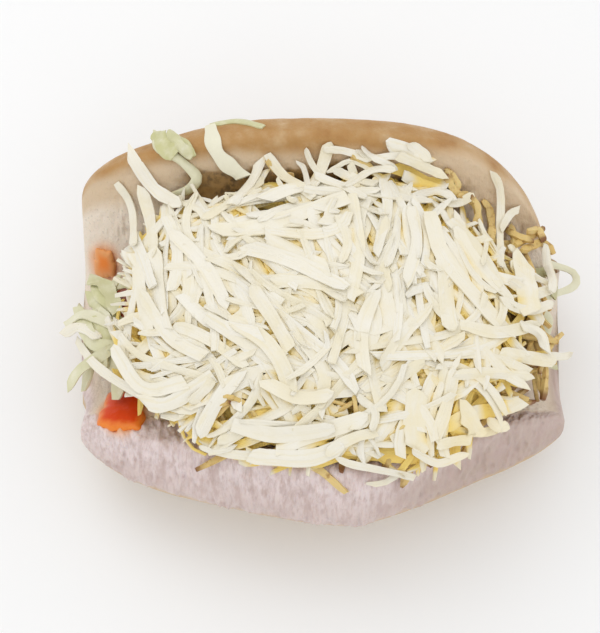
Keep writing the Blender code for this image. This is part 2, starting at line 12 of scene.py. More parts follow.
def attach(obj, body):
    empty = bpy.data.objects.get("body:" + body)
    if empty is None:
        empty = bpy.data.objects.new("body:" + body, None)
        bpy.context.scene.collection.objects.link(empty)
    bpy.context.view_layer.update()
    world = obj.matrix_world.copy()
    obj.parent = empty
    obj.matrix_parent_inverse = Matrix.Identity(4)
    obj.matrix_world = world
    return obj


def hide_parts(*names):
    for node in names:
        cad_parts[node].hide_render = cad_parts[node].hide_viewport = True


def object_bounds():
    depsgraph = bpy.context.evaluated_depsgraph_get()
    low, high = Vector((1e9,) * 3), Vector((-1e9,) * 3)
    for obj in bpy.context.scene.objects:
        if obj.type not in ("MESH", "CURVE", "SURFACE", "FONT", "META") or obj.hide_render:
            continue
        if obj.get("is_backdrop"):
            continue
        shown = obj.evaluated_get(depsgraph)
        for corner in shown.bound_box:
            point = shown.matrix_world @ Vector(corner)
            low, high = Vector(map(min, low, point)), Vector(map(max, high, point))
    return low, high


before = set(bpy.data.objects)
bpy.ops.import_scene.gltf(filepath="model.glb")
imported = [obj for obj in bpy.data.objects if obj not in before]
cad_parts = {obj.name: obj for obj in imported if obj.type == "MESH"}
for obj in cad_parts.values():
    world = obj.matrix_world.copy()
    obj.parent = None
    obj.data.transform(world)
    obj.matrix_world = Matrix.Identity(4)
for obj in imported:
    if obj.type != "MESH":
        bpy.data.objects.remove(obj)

bl_info = {
    "name": "Loaded hot dog",
    "version": (1, 0, 0),
    "blender": (4, 5, 0),
    "location": "3D View > Sidebar > Hot dog",
    "description": "Makes a loaded hot dog in an opened bun, piece by piece",
    "category": "Add Mesh",
}

MM = 0.001
GAP = 0.35

# The bun, as in the part's source
BUN_LENGTH = 151.0
CREASE = np.array([0.0, 18.0])
HINGE = np.array([0.0, 8.0])
NEAR_TILT, FAR_TILT = 32.0, 52.0
NEAR_WIDTH, FAR_WIDTH = 66.0, 68.0
NEAR_THICKNESS, FAR_THICKNESS = 25.0, 29.0
RIM_RADIUS = 3.5
END_POWER, END_FLAT = 2.6, 0.995
BASE_POWER, END_LIFT = 2.8, 10.0
HINGE_BLEND = 16.0
LEFT_PULL, PULL_SHARE = 5.0, 0.6
FIXED_SHARE, LEAST_KEPT = 0.3, 0.12
NEAR_WIDEST, NEAR_LEFT, NEAR_RIGHT = 0.17, (0.58, 1.42), (0.40, 1.06)
FAR_WIDEST, FAR_LEFT, FAR_RIGHT = 0.0, (0.57, 1.9), (-0.4, 3.0)
CREASE_RADIUS, BACK_RADIUS, NEAR_EDGE_RADIUS = 3.0, 14.0, 9.0
FAR_BULGE, FAR_BULGE_PLACE, FAR_BULGE_RADIUS = 3.0, 0.62, 26.0
FAR_EDGE_OUT, FAR_EDGE_DEPTH, FAR_EDGE_RADIUS = 2.0, 0.42, 11.0
ARC_POINTS = 24
NORMAL_STEP = 0.004
BUN_STATIONS, BUN_ROUNDS = 300, 310
END_CROWDING = 0.7

# Where the section has its rims, as shares of its length, and how much closer its points are there
NEAR_RIM, FAR_RIM = (0.14, 0.32), (0.68, 0.86)
RIM_CROWDING = 2.4

# The sausage, and the points round it, along it and over each of its round ends
SAUSAGE_RADIUS, SAUSAGE_LENGTH = 11.5, 136.0
SAUSAGE_ROUNDS, SAUSAGE_STATIONS, CAP_RINGS = 72, 90, 14
CAP_START = 0.04

# The three heaps, as in the part's source
HEAP_LEVEL_TILT = 0.083
CORE_SQUARENESS = 0.86
BUMPS, BUMP_HEIGHT = 5, 0.03
CABBAGE_CORE = {"middle": (-5.0, -9.0, 45.0), "half": (70.0, 31.0), "rise": 5.0, "depth": 11.0,
                "droop": 4.0, "turn": 0.0}
POTATO_CORE = {"middle": (7.0, -9.0, 50.0), "half": (63.0, 39.0), "rise": 6.0, "depth": 8.0,
               "droop": 4.0, "turn": 0.0}
CHEESE_CORE = {"middle": (0.0, -9.0, 56.0), "half": (61.0, 47.0), "rise": 13.0, "depth": 10.0,
               "droop": 9.0, "turn": -7.0}

# Tomato sauce, as in the part's source
FRONT_SAUCE = {"place": (-0.81, 0.15), "reach": (0.1, 0.042), "height": 1.6}
BACK_SAUCE = {"place": (-0.905, 0.945), "reach": (0.045, 0.018), "height": 1.3}

# The eye that the shreds were read from: points below are pixels of a 600 by 633 picture
EYE_ELEVATION = 66.0
EYE_DISTANCE = 424.0
EYE_TARGET = np.array([0.0, -4.0, 38.0])
FOCAL_PIXELS = 1400.0
PICTURE_MIDDLE = (320.0, 321.5)
FRAME_MIDDLE = (300.0, 316.5)
FRAME_LONG_SIDE = 633.0
SENSOR = 36.0
PIXELS_PER_MM = 3.55
HEAP_RISE_SEEN = 26.0

# The height map that shreds are laid on, and the lowest place that a shred read from the picture rests on
MAP_LOW = np.array([-92.0, -78.0])
MAP_CELL = 0.5
MAP_SHAPE = (369, 313)
MAP_TOP, MAP_BOTTOM = 78.0, 4.0
LOWEST_REST = 32.0
CREST_CELLS = 6
TALLEST_STRETCH = 1.6

# How a shred is laid: how steeply it may fall from what holds it up, how far its edge lanes are from its
# middle as a share of its width, how far apart their means are, its greatest lean, and the steps of its top
SHRED_SLOPE = 0.55
EDGE_LANE, LANE_SPAN = 0.45, 0.68
GREATEST_LEAN = 0.55
STEP_ALONG, STEP_ACROSS = 0.35, 0.4

# Paths tried for each strewn shred, and what a path costs for each share past the outline's margin and
# for each of its points in a gap
PATH_TRIES = 8
OUTLINE_MARGIN = 1.03
OUTLINE_COST, GAP_COST = 80.0, 1.6
WIDTH_DRAW = (1.0, 2.3)

# How far each core lies under its heap, its share of the heap's outline, and how much of the drop lowers
# the core's rim
CHEESE_DROP, CHEESE_SHARE = 5.5, 0.86
POTATO_DROP, POTATO_SHARE = 3.0, 0.9
CABBAGE_DROP, CABBAGE_SHARE = 3.5, 0.88
LEVEL_SHARE = 0.4

# How deep the cheese's core is dented at a dark gap, and the height that its shreds ease up to
DENT = 7.0
TOP_LIMIT = 72.4

# The strewn layers of cheese: the room left under the heap's face, the widths and the spread of headings
CHEESE_LAYERS = [(2.4, (0.9, 4.6), 0.5), (1.6, (1.0, 5.2), 0.42), (0.8, (1.6, 5.4), 0.3)]
CHEESE_LENGTHS, CHEESE_BEND = (22, 54), 0.022

# How far under its face the cheese's gaps are seen, and how deep under the crest its painted golden shade is
# full
AIM_DROP = 2.0
CREST_DEPTH = 3.0

# How much of its read width a cheese shred keeps, and the angle past which the edges of shreds stay sharp
READ_WIDTH = 0.85
CRISP_ANGLE = 48.0

# Where the bread's zones start: up a half from its crease or down from its rim, in from its cut face, and
# along the bun from its middle
CUT_DEPTH = 1.2
TORN_STRIP, TORN_EDGE, TORN_END_EDGE = 17.0, 4.5, 8.0
GOLDEN_UP, GOLDEN_DEPTH = 22.0, 3.0
WARM_UP = 46.0
# The brown crumb beside the filling is stain together with painted shade of the dark cavity under the heap
STAIN_AND_SHADE_FAR_UP, STAIN_AND_SHADE_NEAR_UP, STAIN_AND_SHADE_DEPTH, STAIN_AND_SHADE_HALF = 56.0, 30.0, 3.0, 38.0
STRIP_SQUASH = 0.3

# The pools of sauce: how square they are, how far their undersides lie in the bread, and their points
SAUCE_POWER, SAUCE_SINK = 5, 0.6
SAUCE_RINGS, SAUCE_ROUNDS = 21, 96

# The stage
SKY_STRENGTH = 0.93
LIGHT_TARGET = (0.0, 0.0, 0.03)

# Cheese shreds on top: each one's width, then the pixels it passes as x, y, x, y and so on
CHEESE_SHREDS = [
    (4.6, 123, 161, 142, 186, 178, 212), (3.0, 112, 190, 129, 218, 132, 252),
    (4.4, 138, 196, 147, 226, 152, 262), (3.6, 257, 160, 246, 184, 228, 207),
    (3.4, 262, 156, 284, 182, 310, 200), (4.4, 324, 144, 319, 166, 307, 187),
    (3.0, 300, 192, 338, 190, 376, 188), (5.4, 381, 146, 402, 149, 426, 162),
    (4.4, 385, 166, 412, 174, 443, 185), (3.2, 255, 222, 292, 206, 336, 212),
    (3.8, 378, 178, 384, 205, 374, 254), (5.2, 241, 250, 292, 263, 346, 288),
    (4.2, 348, 196, 357, 246, 350, 300), (2.8, 488, 168, 495, 202, 498, 262),
    (5.8, 425, 213, 446, 258, 508, 330), (4.2, 452, 224, 478, 262, 512, 302),
    (6.4, 512, 252, 524, 284, 536, 322), (4.2, 408, 204, 414, 242, 404, 282),
    (3.2, 78, 350, 104, 384, 150, 403, 176, 392), (4.8, 118, 366, 146, 394, 188, 386),
    (3.6, 61, 340, 78, 334, 100, 345), (5.0, 150, 426, 172, 410, 216, 380),
    (4.8, 203, 442, 216, 412, 240, 376), (5.2, 236, 428, 284, 440, 338, 428),
    (5.6, 254, 458, 302, 462, 348, 446), (4.4, 304, 342, 326, 372, 322, 408),
    (7.0, 420, 386, 417, 420, 421, 452), (4.4, 456, 364, 449, 402, 438, 436),
    (3.8, 456, 370, 494, 368, 532, 371), (6.6, 462, 404, 474, 418, 478, 438),
    (2.8, 416, 452, 442, 466, 466, 464), (2.8, 538, 350, 556, 348, 573, 345),
    (4.6, 500, 347, 528, 350, 552, 364), (4.8, 168, 236, 202, 268, 228, 310),
    (4.6, 250, 290, 272, 318, 292, 352), (4.6, 180, 300, 214, 326, 262, 336),
    (4.6, 140, 300, 170, 340, 206, 362), (4.8, 374, 290, 362, 330, 366, 372),
    (4.6, 430, 300, 402, 334, 382, 366), (4.2, 460, 320, 500, 326, 536, 322),
    (4.6, 264, 382, 300, 398, 336, 396), (2.0, 294, 163, 300, 175, 304, 187),
    (1.6, 273, 187, 285, 200, 293, 204), (1.8, 322, 172, 345, 161, 375, 175, 380, 190),
    (3.0, 345, 165, 350, 178, 352, 186), (2.4, 352, 152, 380, 160, 400, 158),
    (3.0, 335, 215, 345, 240, 340, 262), (3.0, 395, 215, 392, 240, 385, 265),
    (2.8, 497, 225, 505, 215, 515, 205), (1.8, 475, 215, 483, 235, 480, 262),
    (3.2, 430, 195, 450, 200, 470, 190), (3.4, 193, 408, 205, 395, 215, 385),
    (1.8, 205, 455, 220, 455, 240, 450), (3.6, 330, 455, 350, 440, 380, 430),
    (2.6, 360, 395, 378, 410, 375, 430), (3.4, 490, 415, 500, 425, 505, 435),
    (3.4, 440, 445, 460, 440, 475, 435), (2.6, 318, 150, 340, 152, 366, 160),
    (2.4, 356, 148, 372, 158, 392, 170), (3.4, 330, 168, 352, 178, 372, 184),
    (3.4, 392, 160, 414, 166, 440, 172), (4.0, 398, 178, 420, 182, 440, 192),
    (2.2, 300, 150, 306, 166, 320, 180), (3.6, 404, 142, 418, 150, 424, 160),
    (3.2, 310, 178, 336, 184, 362, 198), (2.6, 340, 186, 364, 176, 390, 176),
    (3.2, 404, 196, 430, 188, 452, 196), (3.4, 516, 262, 536, 272, 556, 276),
    (3.8, 508, 276, 530, 290, 548, 296), (3.0, 536, 258, 550, 272, 546, 294),
    (3.6, 500, 296, 524, 306, 546, 312), (3.4, 520, 318, 538, 330, 546, 346),
    (2.6, 506, 240, 520, 256, 528, 272), (8.0, 520, 250, 525, 280, 530, 308),
]

# Which way the cheese shreds run, in degrees up from the right, at pixels of the picture
CHEESE_FLOW = [
    (150, 230, 105), (150, 190, 135), (220, 240, 65), (270, 215, 15), (290, 240, 150), (320, 225, 130),
    (350, 230, 100), (380, 220, 80), (410, 200, 75), (420, 240, 110), (450, 250, 127), (500, 280, 125),
    (525, 290, 100), (490, 200, 95), (470, 190, 30), (340, 165, 10), (240, 170, 55), (180, 300, 140),
    (230, 320, 150), (280, 300, 140), (320, 290, 145), (350, 330, 60), (400, 320, 95), (370, 300, 80),
    (440, 335, 8), (500, 345, 5), (520, 365, 0), (130, 330, 75), (110, 380, 140), (150, 390, 170),
    (190, 390, 35), (230, 380, 50), (280, 390, 165), (320, 370, 110), (350, 380, 20), (390, 390, 20),
    (420, 420, 90), (450, 400, 75), (480, 420, 150), (300, 440, 10), (230, 430, 75), (450, 450, 160),
]

# Dark gaps along the far edge of the heap: pixel of the middle, then half its width and height
DARK_GAPS = [
    (176, 190, 14, 7), (205, 188, 16, 9), (230, 184, 13, 9), (246, 170, 12, 9), (284, 171, 20, 14),
    (305, 168, 6, 9), (340, 158, 11, 6), (335, 173, 9, 7), (364, 177, 10, 7), (275, 188, 9, 6),
    (271, 208, 20, 6), (248, 211, 6, 7), (421, 169, 19, 9), (452, 187, 10, 9), (484, 220, 9, 22),
    (485, 248, 6, 9), (471, 213, 8, 6),
]

# Golden gaps inside the heap
WINDOWS = [
    (267, 229, 9, 3), (291, 244, 6, 8), (258, 265, 10, 8), (313, 292, 3, 10),
    (351, 218, 5, 10), (372, 245, 6, 10), (232, 310, 12, 5), (272, 326, 11, 4), (301, 316, 5, 10),
    (314, 335, 13, 5), (381, 311, 6, 11), (227, 344, 7, 6), (295, 354, 7, 4), (298, 378, 13, 4),
    (253, 389, 9, 3), (436, 215, 4, 7), (430, 306, 7, 3), (438, 324, 7, 6), (464, 315, 6, 5),
    (489, 315, 9, 3), (513, 309, 5, 4), (509, 287, 4, 10), (425, 377, 9, 9), (350, 405, 18, 11),
    (402, 404, 10, 7), (402, 427, 13, 11), (473, 391, 13, 8), (501, 387, 7, 7), (513, 348, 14, 8),
    (229, 403, 8, 10), (224, 417, 14, 11), (254, 417, 8, 10), (276, 445, 14, 4), (141, 246, 3, 8),
    (216, 290, 8, 9), (158, 268, 3, 5), (120, 312, 10, 4), (118, 368, 6, 5), (135, 366, 5, 7),
    (197, 235, 4, 4), (161, 214, 4, 3), (149, 205, 3, 3), (198, 400, 6, 6),
    (411, 468, 8, 16), (336, 478, 13, 9), (346, 456, 5, 12), (372, 456, 9, 6), (216, 470, 14, 6),
    (304, 462, 6, 7), (394, 446, 8, 5), (470, 446, 5, 10), (530, 338, 10, 12), (524, 290, 6, 10),
]

# Cabbage shreds at the far rim and both ends: width, how green, then the pixels
CABBAGE_SHREDS = [
    (3.2, 0.5, 149, 131, 154, 152, 178, 168, 193, 185, 186, 200, 168, 204),
    (2.8, 0.9, 155, 150, 163, 137, 177, 146, 190, 163), (5.6, 1.0, 150, 131, 157, 147, 170, 161),
    (3.6, 0.8, 164, 138, 176, 151, 187, 163), (3.0, 0.9, 258, 129, 230, 125, 204, 127),
    (4.8, 0.05, 204, 129, 212, 158, 240, 184), (5.0, 0.8, 84, 300, 104, 310, 132, 308),
    (6.2, 0.9, 94, 292, 114, 314, 122, 344), (5.6, 0.6, 84, 330, 100, 352, 104, 376),
    (5.0, 0.4, 98, 318, 112, 336, 128, 340), (5.2, 0.9, 90, 330, 106, 340, 122, 362),
    (3.4, 0.6, 70, 396, 86, 380, 106, 360, 126, 346), (4.6, 0.6, 78, 318, 94, 350, 116, 352),
    (4.6, 0.8, 86, 284, 104, 292, 118, 320), (3.6, 0.3, 64, 330, 84, 322, 112, 332, 138, 342),
    (2.4, 0.3, 545, 257, 572, 259, 572, 277, 540, 284, 508, 300), (3.6, 0.5, 524, 296, 549, 304, 546, 330),
    (5.6, 0.7, 498, 348, 530, 342, 560, 352), (3.4, 0.9, 520, 268, 546, 268, 550, 290),
]

# Straw potatoes at the near edge, in the far right corner and in the gaps: width, then the pixels
POTATO_STRAWS = [
    (2.3, 292, 440, 304, 458, 326, 471, 352, 494), (1.9, 342, 420, 347, 448, 346, 472),
    (2.2, 412, 424, 394, 447, 366, 460), (2.4, 420, 420, 419, 452, 406, 488),
    (1.9, 262, 424, 240, 452, 202, 478), (2.2, 464, 408, 471, 438, 462, 461),
    (2.4, 506, 222, 511, 238, 508, 253), (2.4, 512, 240, 526, 242, 538, 228),
    (2.4, 518, 246, 534, 253, 545, 264), (2.2, 524, 226, 534, 224, 540, 236),
    (2.2, 500, 232, 516, 230, 530, 236), (2.4, 396, 452, 420, 446, 436, 470),
    (2.0, 388, 470, 398, 448, 412, 440), (2.4, 478, 196, 486, 214, 488, 244),
    (2.2, 440, 168, 452, 182, 448, 196), (2.0, 262, 164, 276, 176, 290, 178),
    (2.0, 346, 158, 362, 166, 372, 180), (2.2, 440, 176, 452, 190, 462, 196),
    (2.0, 452, 200, 468, 210, 478, 226), (2.0, 466, 190, 474, 206, 472, 224),
]


def walk_along(points):
    """The length walked along a line of points by each of them."""
    return np.concatenate([[0.0], np.cumsum(np.linalg.norm(np.diff(points, axis=0), axis=1))])


def unit(ways):
    """The same directions, each of length 1."""
    return ways / (np.linalg.norm(ways, axis=-1, keepdims=True) + 1e-9)


def arm_axes(tilt, side):
    """Two directions across the bun: out along a half's cut face, and from that face into its crust."""
    angle = math.radians(tilt)
    return (np.array([side * math.cos(angle), math.sin(angle)]),
            np.array([side * math.sin(angle), -math.cos(angle)]))


NEAR_ALONG, NEAR_INTO = arm_axes(NEAR_TILT, -1)
FAR_ALONG, FAR_INTO = arm_axes(FAR_TILT, 1)


def rounded(corners):
    """A closed outline through (corner, radius) pairs, each corner replaced by an arc of its radius."""
    places = [np.array(corner) for corner, _ in corners]
    outline = []
    for i, (place, (_, radius)) in enumerate(zip(places, corners)):
        back = places[i - 1] - place
        ahead = places[(i + 1) % len(places)] - place
        back_length, ahead_length = np.linalg.norm(back), np.linalg.norm(ahead)
        back, ahead = back / back_length, ahead / ahead_length
        half_angle = math.acos(float(np.clip(back @ ahead, -1, 1))) / 2
        cut = min(radius / math.tan(half_angle), 0.49 * min(back_length, ahead_length))
        radius = cut * math.tan(half_angle)
        bisector = (back + ahead) / np.linalg.norm(back + ahead)
        middle = place + bisector * radius / math.sin(half_angle)
        start, end = place + back * cut - middle, place + ahead * cut - middle
        first, last = math.atan2(start[1], start[0]), math.atan2(end[1], end[0])
        turn = (last - first + math.pi) % (2 * math.pi) - math.pi
        angles = first + turn * np.linspace(0, 1, ARC_POINTS)
        outline.append(middle + radius * np.stack([np.cos(angles), np.sin(angles)], axis=1))
    return np.concatenate(outline)


def bun_section():
    """The bun's middle section, from the crease along the near half, under the hinge and back."""
    return rounded([
        (CREASE, CREASE_RADIUS),
        (CREASE + NEAR_WIDTH * NEAR_ALONG, RIM_RADIUS),
        (CREASE + (NEAR_WIDTH + 1) * NEAR_ALONG + NEAR_THICKNESS * NEAR_INTO, NEAR_EDGE_RADIUS),
        (CREASE + 2 * NEAR_ALONG + NEAR_THICKNESS * NEAR_INTO, BACK_RADIUS),
        (CREASE - 6 * FAR_ALONG + FAR_THICKNESS * FAR_INTO, BACK_RADIUS),
        (CREASE + FAR_BULGE_PLACE * FAR_WIDTH * FAR_ALONG + (FAR_THICKNESS + FAR_BULGE) * FAR_INTO,
         FAR_BULGE_RADIUS),
        (CREASE + (FAR_WIDTH + FAR_EDGE_OUT) * FAR_ALONG + FAR_EDGE_DEPTH * FAR_THICKNESS * FAR_INTO,
         FAR_EDGE_RADIUS),
        (CREASE + FAR_WIDTH * FAR_ALONG, RIM_RADIUS),
    ])


SECTION = bun_section()
SECTION_LENGTH = walk_along(np.concatenate([SECTION, SECTION[:1]]))[-1]


def around(outline, turns):
    """Points of a closed outline at these shares of its length, and the normals that point out of it."""
    closed = np.concatenate([outline, outline[:1]])
    walked = walk_along(closed)
    place = (np.asarray(turns) % 1.0) * walked[-1]
    step = NORMAL_STEP * walked[-1]
    points, before, after = (
        np.stack([np.interp((place + shift) % walked[-1], walked, closed[:, k]) for k in (0, 1)], axis=-1)
        for shift in (0.0, -step, step)
    )
    along = after - before
    along /= np.linalg.norm(along, axis=-1, keepdims=True)
    return points, np.stack([along[..., 1], -along[..., 0]], axis=-1)


def superellipse(share, power):
    return np.clip(1 - np.abs(share) ** power, 0, 1) ** (1 / power)


def softly(value):
    """The value where it is well over 0, easing to 0 below: the root of a square and a small constant."""
    return (value + np.sqrt(value * value + 1.0)) / 2


def smoothstep(value):
    value = np.clip(value, 0, 1)
    return value * value * (3 - 2 * value)


def reach(share, widest, left, right):
    """How much of its full width a half keeps, from `widest` to (share kept, power) at either end."""
    to_left = share < widest
    away = np.where(to_left, (widest - share) / (widest + 1), (share - widest) / (1 - widest))
    kept = np.where(to_left, left[0], right[0])
    power = np.where(to_left, left[1], right[1])
    return kept + (1 - kept) * np.clip(1 - away ** power, 0, 1) ** (1 / power)


def bun_surface(share, turns, offset=0.0):
    """Points of the bun at `share`, -1 to 1 along it, and `turns`, 0 to 1 round its section.

    A section point is carried from a medial line, which runs up both halves from the hinge. The halves
    get shorter towards the ends, and the thickness about the medial line closes there as a superellipse.
    The near half's left end is pulled in by LEFT_PULL at its rim.
    `offset` moves each point out along the section's normal."""
    share, turns = np.broadcast_arrays(np.asarray(share, float), np.asarray(turns, float))
    offset = np.broadcast_to(np.asarray(offset, float), share.shape)
    flat, out = around(SECTION, turns)
    far = (flat[..., 0] > CREASE[0])[..., None]
    along = np.where(far, FAR_ALONG, NEAR_ALONG)
    into = np.where(far, FAR_INTO, NEAR_INTO)
    half_thickness = np.where(far, FAR_THICKNESS, NEAR_THICKNESS) / 2
    width = np.where(far, FAR_WIDTH, NEAR_WIDTH)[..., 0]
    kept = np.where(far[..., 0], reach(share, FAR_WIDEST, FAR_LEFT, FAR_RIGHT),
                    reach(share, NEAR_WIDEST, NEAR_LEFT, NEAR_RIGHT))
    kept = np.maximum(kept, LEAST_KEPT)
    up = ((flat - CREASE) * along).sum(axis=-1)
    fixed = FIXED_SHARE * width
    moved = np.where(up > fixed, fixed + (up - fixed) * (width * kept - fixed) / (width - fixed), up)
    weight = smoothstep(up / HINGE_BLEND)[..., None]
    lift = END_LIFT * (1 - superellipse(share, BASE_POWER))[..., None] * np.array([0.0, 1.0])
    first_arm = CREASE + up[..., None] * along + half_thickness * into
    moved_arm = CREASE + moved[..., None] * along + half_thickness * into
    from_medial = flat - HINGE * (1 - weight) - first_arm * weight
    medial = (HINGE + lift) * (1 - weight) + moved_arm * weight
    closing = superellipse(END_FLAT * share, END_POWER)[..., None]
    across = medial + closing * from_medial + offset[..., None] * out
    height = np.maximum(across[..., 1], 0.0)
    pull = np.where(far[..., 0], 0.0, smoothstep(up / width / PULL_SHARE)) * np.clip(-share, 0, 1) ** 2
    return np.stack([BUN_LENGTH / 2 * share + LEFT_PULL * pull, across[..., 0], height], axis=-1)


def lattice(cell, seed):
    """A steady random value from 0 to 1 for each whole-numbered cell."""
    mixed = cell[..., 0] * 73856093 ^ cell[..., 1] * 19349663 ^ cell[..., 2] * 83492791 ^ seed * 2654435761
    mixed = (mixed ^ (mixed >> 13)) * 1274126177 & 0x7FFFFFFF
    return ((mixed ^ (mixed >> 15)) & 0xFFFF) / 65535.0


def noise(points, size, seed=0):
    """Value noise from -1 to 1: lattice values of this size, blended with smoothstep weights."""
    place = np.asarray(points) / np.asarray(size) + 1000.0
    cell = np.floor(place).astype(np.int64)
    part = smoothstep(place - cell)
    total = 0.0
    for corner in np.ndindex(2, 2, 2):
        weight = np.prod(np.where(corner, part, 1 - part), axis=-1)
        total = total + weight * lattice(cell + np.array(corner), seed)
    return total * 2 - 1


def linked(name, data):
    """A new object with this data, in the scene."""
    thing = bpy.data.objects.new(name, data)
    bpy.context.scene.collection.objects.link(thing)
    return thing


def make_mesh(name, points, polygons, marks=None, uv=None, crisp=False):
    """A mesh object in metres. `polygons` are index arrays with one face a row, and `marks` are named
    numbers, one a vertex. `crisp` keeps the edges past CRISP_ANGLE sharp."""
    mesh = bpy.data.meshes.new(name)
    corners = np.concatenate([faces.ravel() for faces in polygons]).astype(np.int32)
    sizes = np.concatenate([np.full(len(faces), faces.shape[1]) for faces in polygons])
    starts = np.concatenate([[0], np.cumsum(sizes)[:-1]]).astype(np.int32)
    mesh.vertices.add(len(points))
    mesh.vertices.foreach_set("co", (np.asarray(points) * MM).astype(np.float32).ravel())
    mesh.loops.add(len(corners))
    mesh.loops.foreach_set("vertex_index", corners)
    mesh.polygons.add(len(starts))
    mesh.polygons.foreach_set("loop_start", starts)
    mesh.update(calc_edges=True)
    mesh.polygons.foreach_set("use_smooth", sizes <= 4)
    for mark, values in (marks or {}).items():
        layer = mesh.attributes.new(mark, "FLOAT", "POINT")
        layer.data.foreach_set("value", np.asarray(values, np.float32).ravel())
    if crisp:
        mesh.set_sharp_from_angle(angle=math.radians(CRISP_ANGLE))
    if uv is not None:
        layer = mesh.uv_layers.new(name="lengths")
        layer.data.foreach_set("uv", np.asarray(uv, np.float32)[corners].ravel())
    mesh.update()
    return linked(name, mesh)


def tube_quads(rows, columns):
    """Quads of a grid of points that closes round its columns, and the face at each end."""
    i, j = np.meshgrid(np.arange(rows - 1), np.arange(columns), indexing="ij")
    here, beside = i * columns + j, i * columns + (j + 1) % columns
    quads = np.stack([here, beside, beside + columns, here + columns], axis=-1).reshape(-1, 4)
    ends = np.stack([np.arange(columns)[::-1], np.arange(columns) + (rows - 1) * columns])
    return quads, ends


def facing_out(rings):
    """True if tube_quads of these rings point out of the solid, judged by its signed volume."""
    quads, _ = tube_quads(*rings.shape[:2])
    points = rings.reshape(-1, 3)
    a, b, c, d = (points[quads[:, k]] for k in range(4))
    return (np.einsum("ij,ij->i", a, np.cross(b, c)) + np.einsum("ij,ij->i", a, np.cross(c, d))).sum() > 0


def tube_faces(rings):
    """Quads and end faces of one closed tube of rings, turned outwards."""
    quads, ends = tube_quads(*rings.shape[:2])
    return (quads, ends) if facing_out(rings) else (quads[:, ::-1], ends[:, ::-1])


def many_tubes(count, rows, columns):
    """Faces of many equal tubes whose points follow each other."""
    quads, ends = tube_quads(rows, columns)
    shift = (np.arange(count) * rows * columns)[:, None, None]
    return (quads + shift).reshape(-1, 4), (ends + shift).reshape(-1, columns)


class HeightMap:
    """How high the food reaches over each cell of a level grid. Every new shred is laid on it."""

    def __init__(self, height=0.0):
        self.height = np.zeros(MAP_SHAPE) + height

    def places(self, marks):
        """Level places and sizes of the windows: a pixel is a sight line met with the map."""
        rows = []
        for x, y, wide, tall in marks:
            hit, right, lower = (self.seen(pixel) for pixel in ((x, y), (x + wide, y), (x, y + tall)))
            if hit is not None:
                across = abs(right[0] - hit[0]) if right is not None else wide / PIXELS_PER_MM
                along = abs(lower[1] - hit[1]) if lower is not None else tall / PIXELS_PER_MM
                rows.append((hit[0], hit[1], across, min(along, tall / PIXELS_PER_MM * TALLEST_STRETCH)))
        return np.array(rows)

    def cells(self, x, y):
        i = np.clip(np.rint((x - MAP_LOW[0]) / MAP_CELL).astype(int), 0, MAP_SHAPE[0] - 1)
        j = np.clip(np.rint((y - MAP_LOW[1]) / MAP_CELL).astype(int), 0, MAP_SHAPE[1] - 1)
        return i, j

    def at(self, x, y):
        return self.height[self.cells(x, y)]

    def raise_to(self, x, y, z):
        np.maximum.at(self.height, self.cells(x, y), z)

    def seen(self, pixel):
        """Where the eye sees a pixel on the map: the first point down its sight line that is under it."""
        eye, direction = sight_line(pixel)
        z = np.arange(MAP_TOP, MAP_BOTTOM, -MAP_CELL / 2)
        way = eye + direction * ((z - eye[2]) / direction[2])[:, None]
        under = np.nonzero(z <= self.at(way[:, 0], way[:, 1]))[0]
        return way[under[0]] if len(under) else None

    def path_through(self, pixels, stations):
        """A smooth level path through the places where the eye sees these pixels."""
        hits = [self.seen(pixel) for pixel in pixels]
        hits = [None if hit is None or hit[2] < LOWEST_REST else hit for hit in hits]
        known = [i for i, hit in enumerate(hits) if hit is not None]
        for i in range(len(hits)):
            if i not in known:
                eye, direction = sight_line(pixels[i])
                beside = hits[min(known, key=lambda k: abs(k - i))]
                hits[i] = eye + direction * (beside[2] - eye[2]) / direction[2]
        return smooth_path(np.array(hits), stations)[:, :2]

    def crest(self):
        """The map with its narrow dips evened out: the mean of the heights within about 3 mm."""
        even = self.height
        for axis in (0, 1):
            shifts = range(-CREST_CELLS, CREST_CELLS + 1)
            even = sum(np.roll(even, shift, axis) for shift in shifts) / len(shifts)
        return even

    def lay(self, path, width, thickness, sink):
        """Lays a band on the map: its height is the highest support less a slope times the distance to
        it, eased along the path, and it leans with the difference between its two edges. The map is
        raised to the band's top. Returns the path in space and the lean."""
        ahead = unit(np.gradient(path, axis=0))
        side = np.stack([ahead[:, 1], -ahead[:, 0]], axis=1)
        lanes = np.linspace(-EDGE_LANE, EDGE_LANE, 5) * width
        under = self.at(path[:, :1] + side[:, :1] * lanes, path[:, 1:] + side[:, 1:] * lanes)
        support = np.sort(under, axis=1)[:, -2]
        walked = walk_along(path)
        held = support[:, None] - SHRED_SLOPE * np.abs(walked[:, None] - walked[None, :])
        level = eased(held.max(axis=0), 2) - sink
        lean = (under[:, 3:].mean(axis=1) - under[:, :2].mean(axis=1)) / (LANE_SPAN * width)
        lean = eased(np.clip(lean, -GREATEST_LEAN, GREATEST_LEAN), 3)
        place = np.linspace(0, walked[-1], int(walked[-1] / STEP_ALONG) + 2)
        fine = [np.interp(place, walked, column) for column in (path[:, 0], path[:, 1], level, lean)]
        across = [np.interp(place, walked, column)[:, None] for column in (side[:, 0], side[:, 1])]
        lanes = np.linspace(-EDGE_LANE, EDGE_LANE, int(width / STEP_ACROSS) + 2) * width
        top = fine[2][:, None] + thickness + fine[3][:, None] * lanes
        self.raise_to(fine[0][:, None] + across[0] * lanes, fine[1][:, None] + across[1] * lanes, top)
        return np.column_stack([path, level + thickness / 2]), np.arctan(lean)


def eased(values, times):
    """Values averaged with their neighbours, several times over."""
    for _ in range(times):
        padded = np.concatenate([values[:1], values, values[-1:]])
        values = (padded[:-2] + 2 * padded[1:-1] + padded[2:]) / 4
    return values


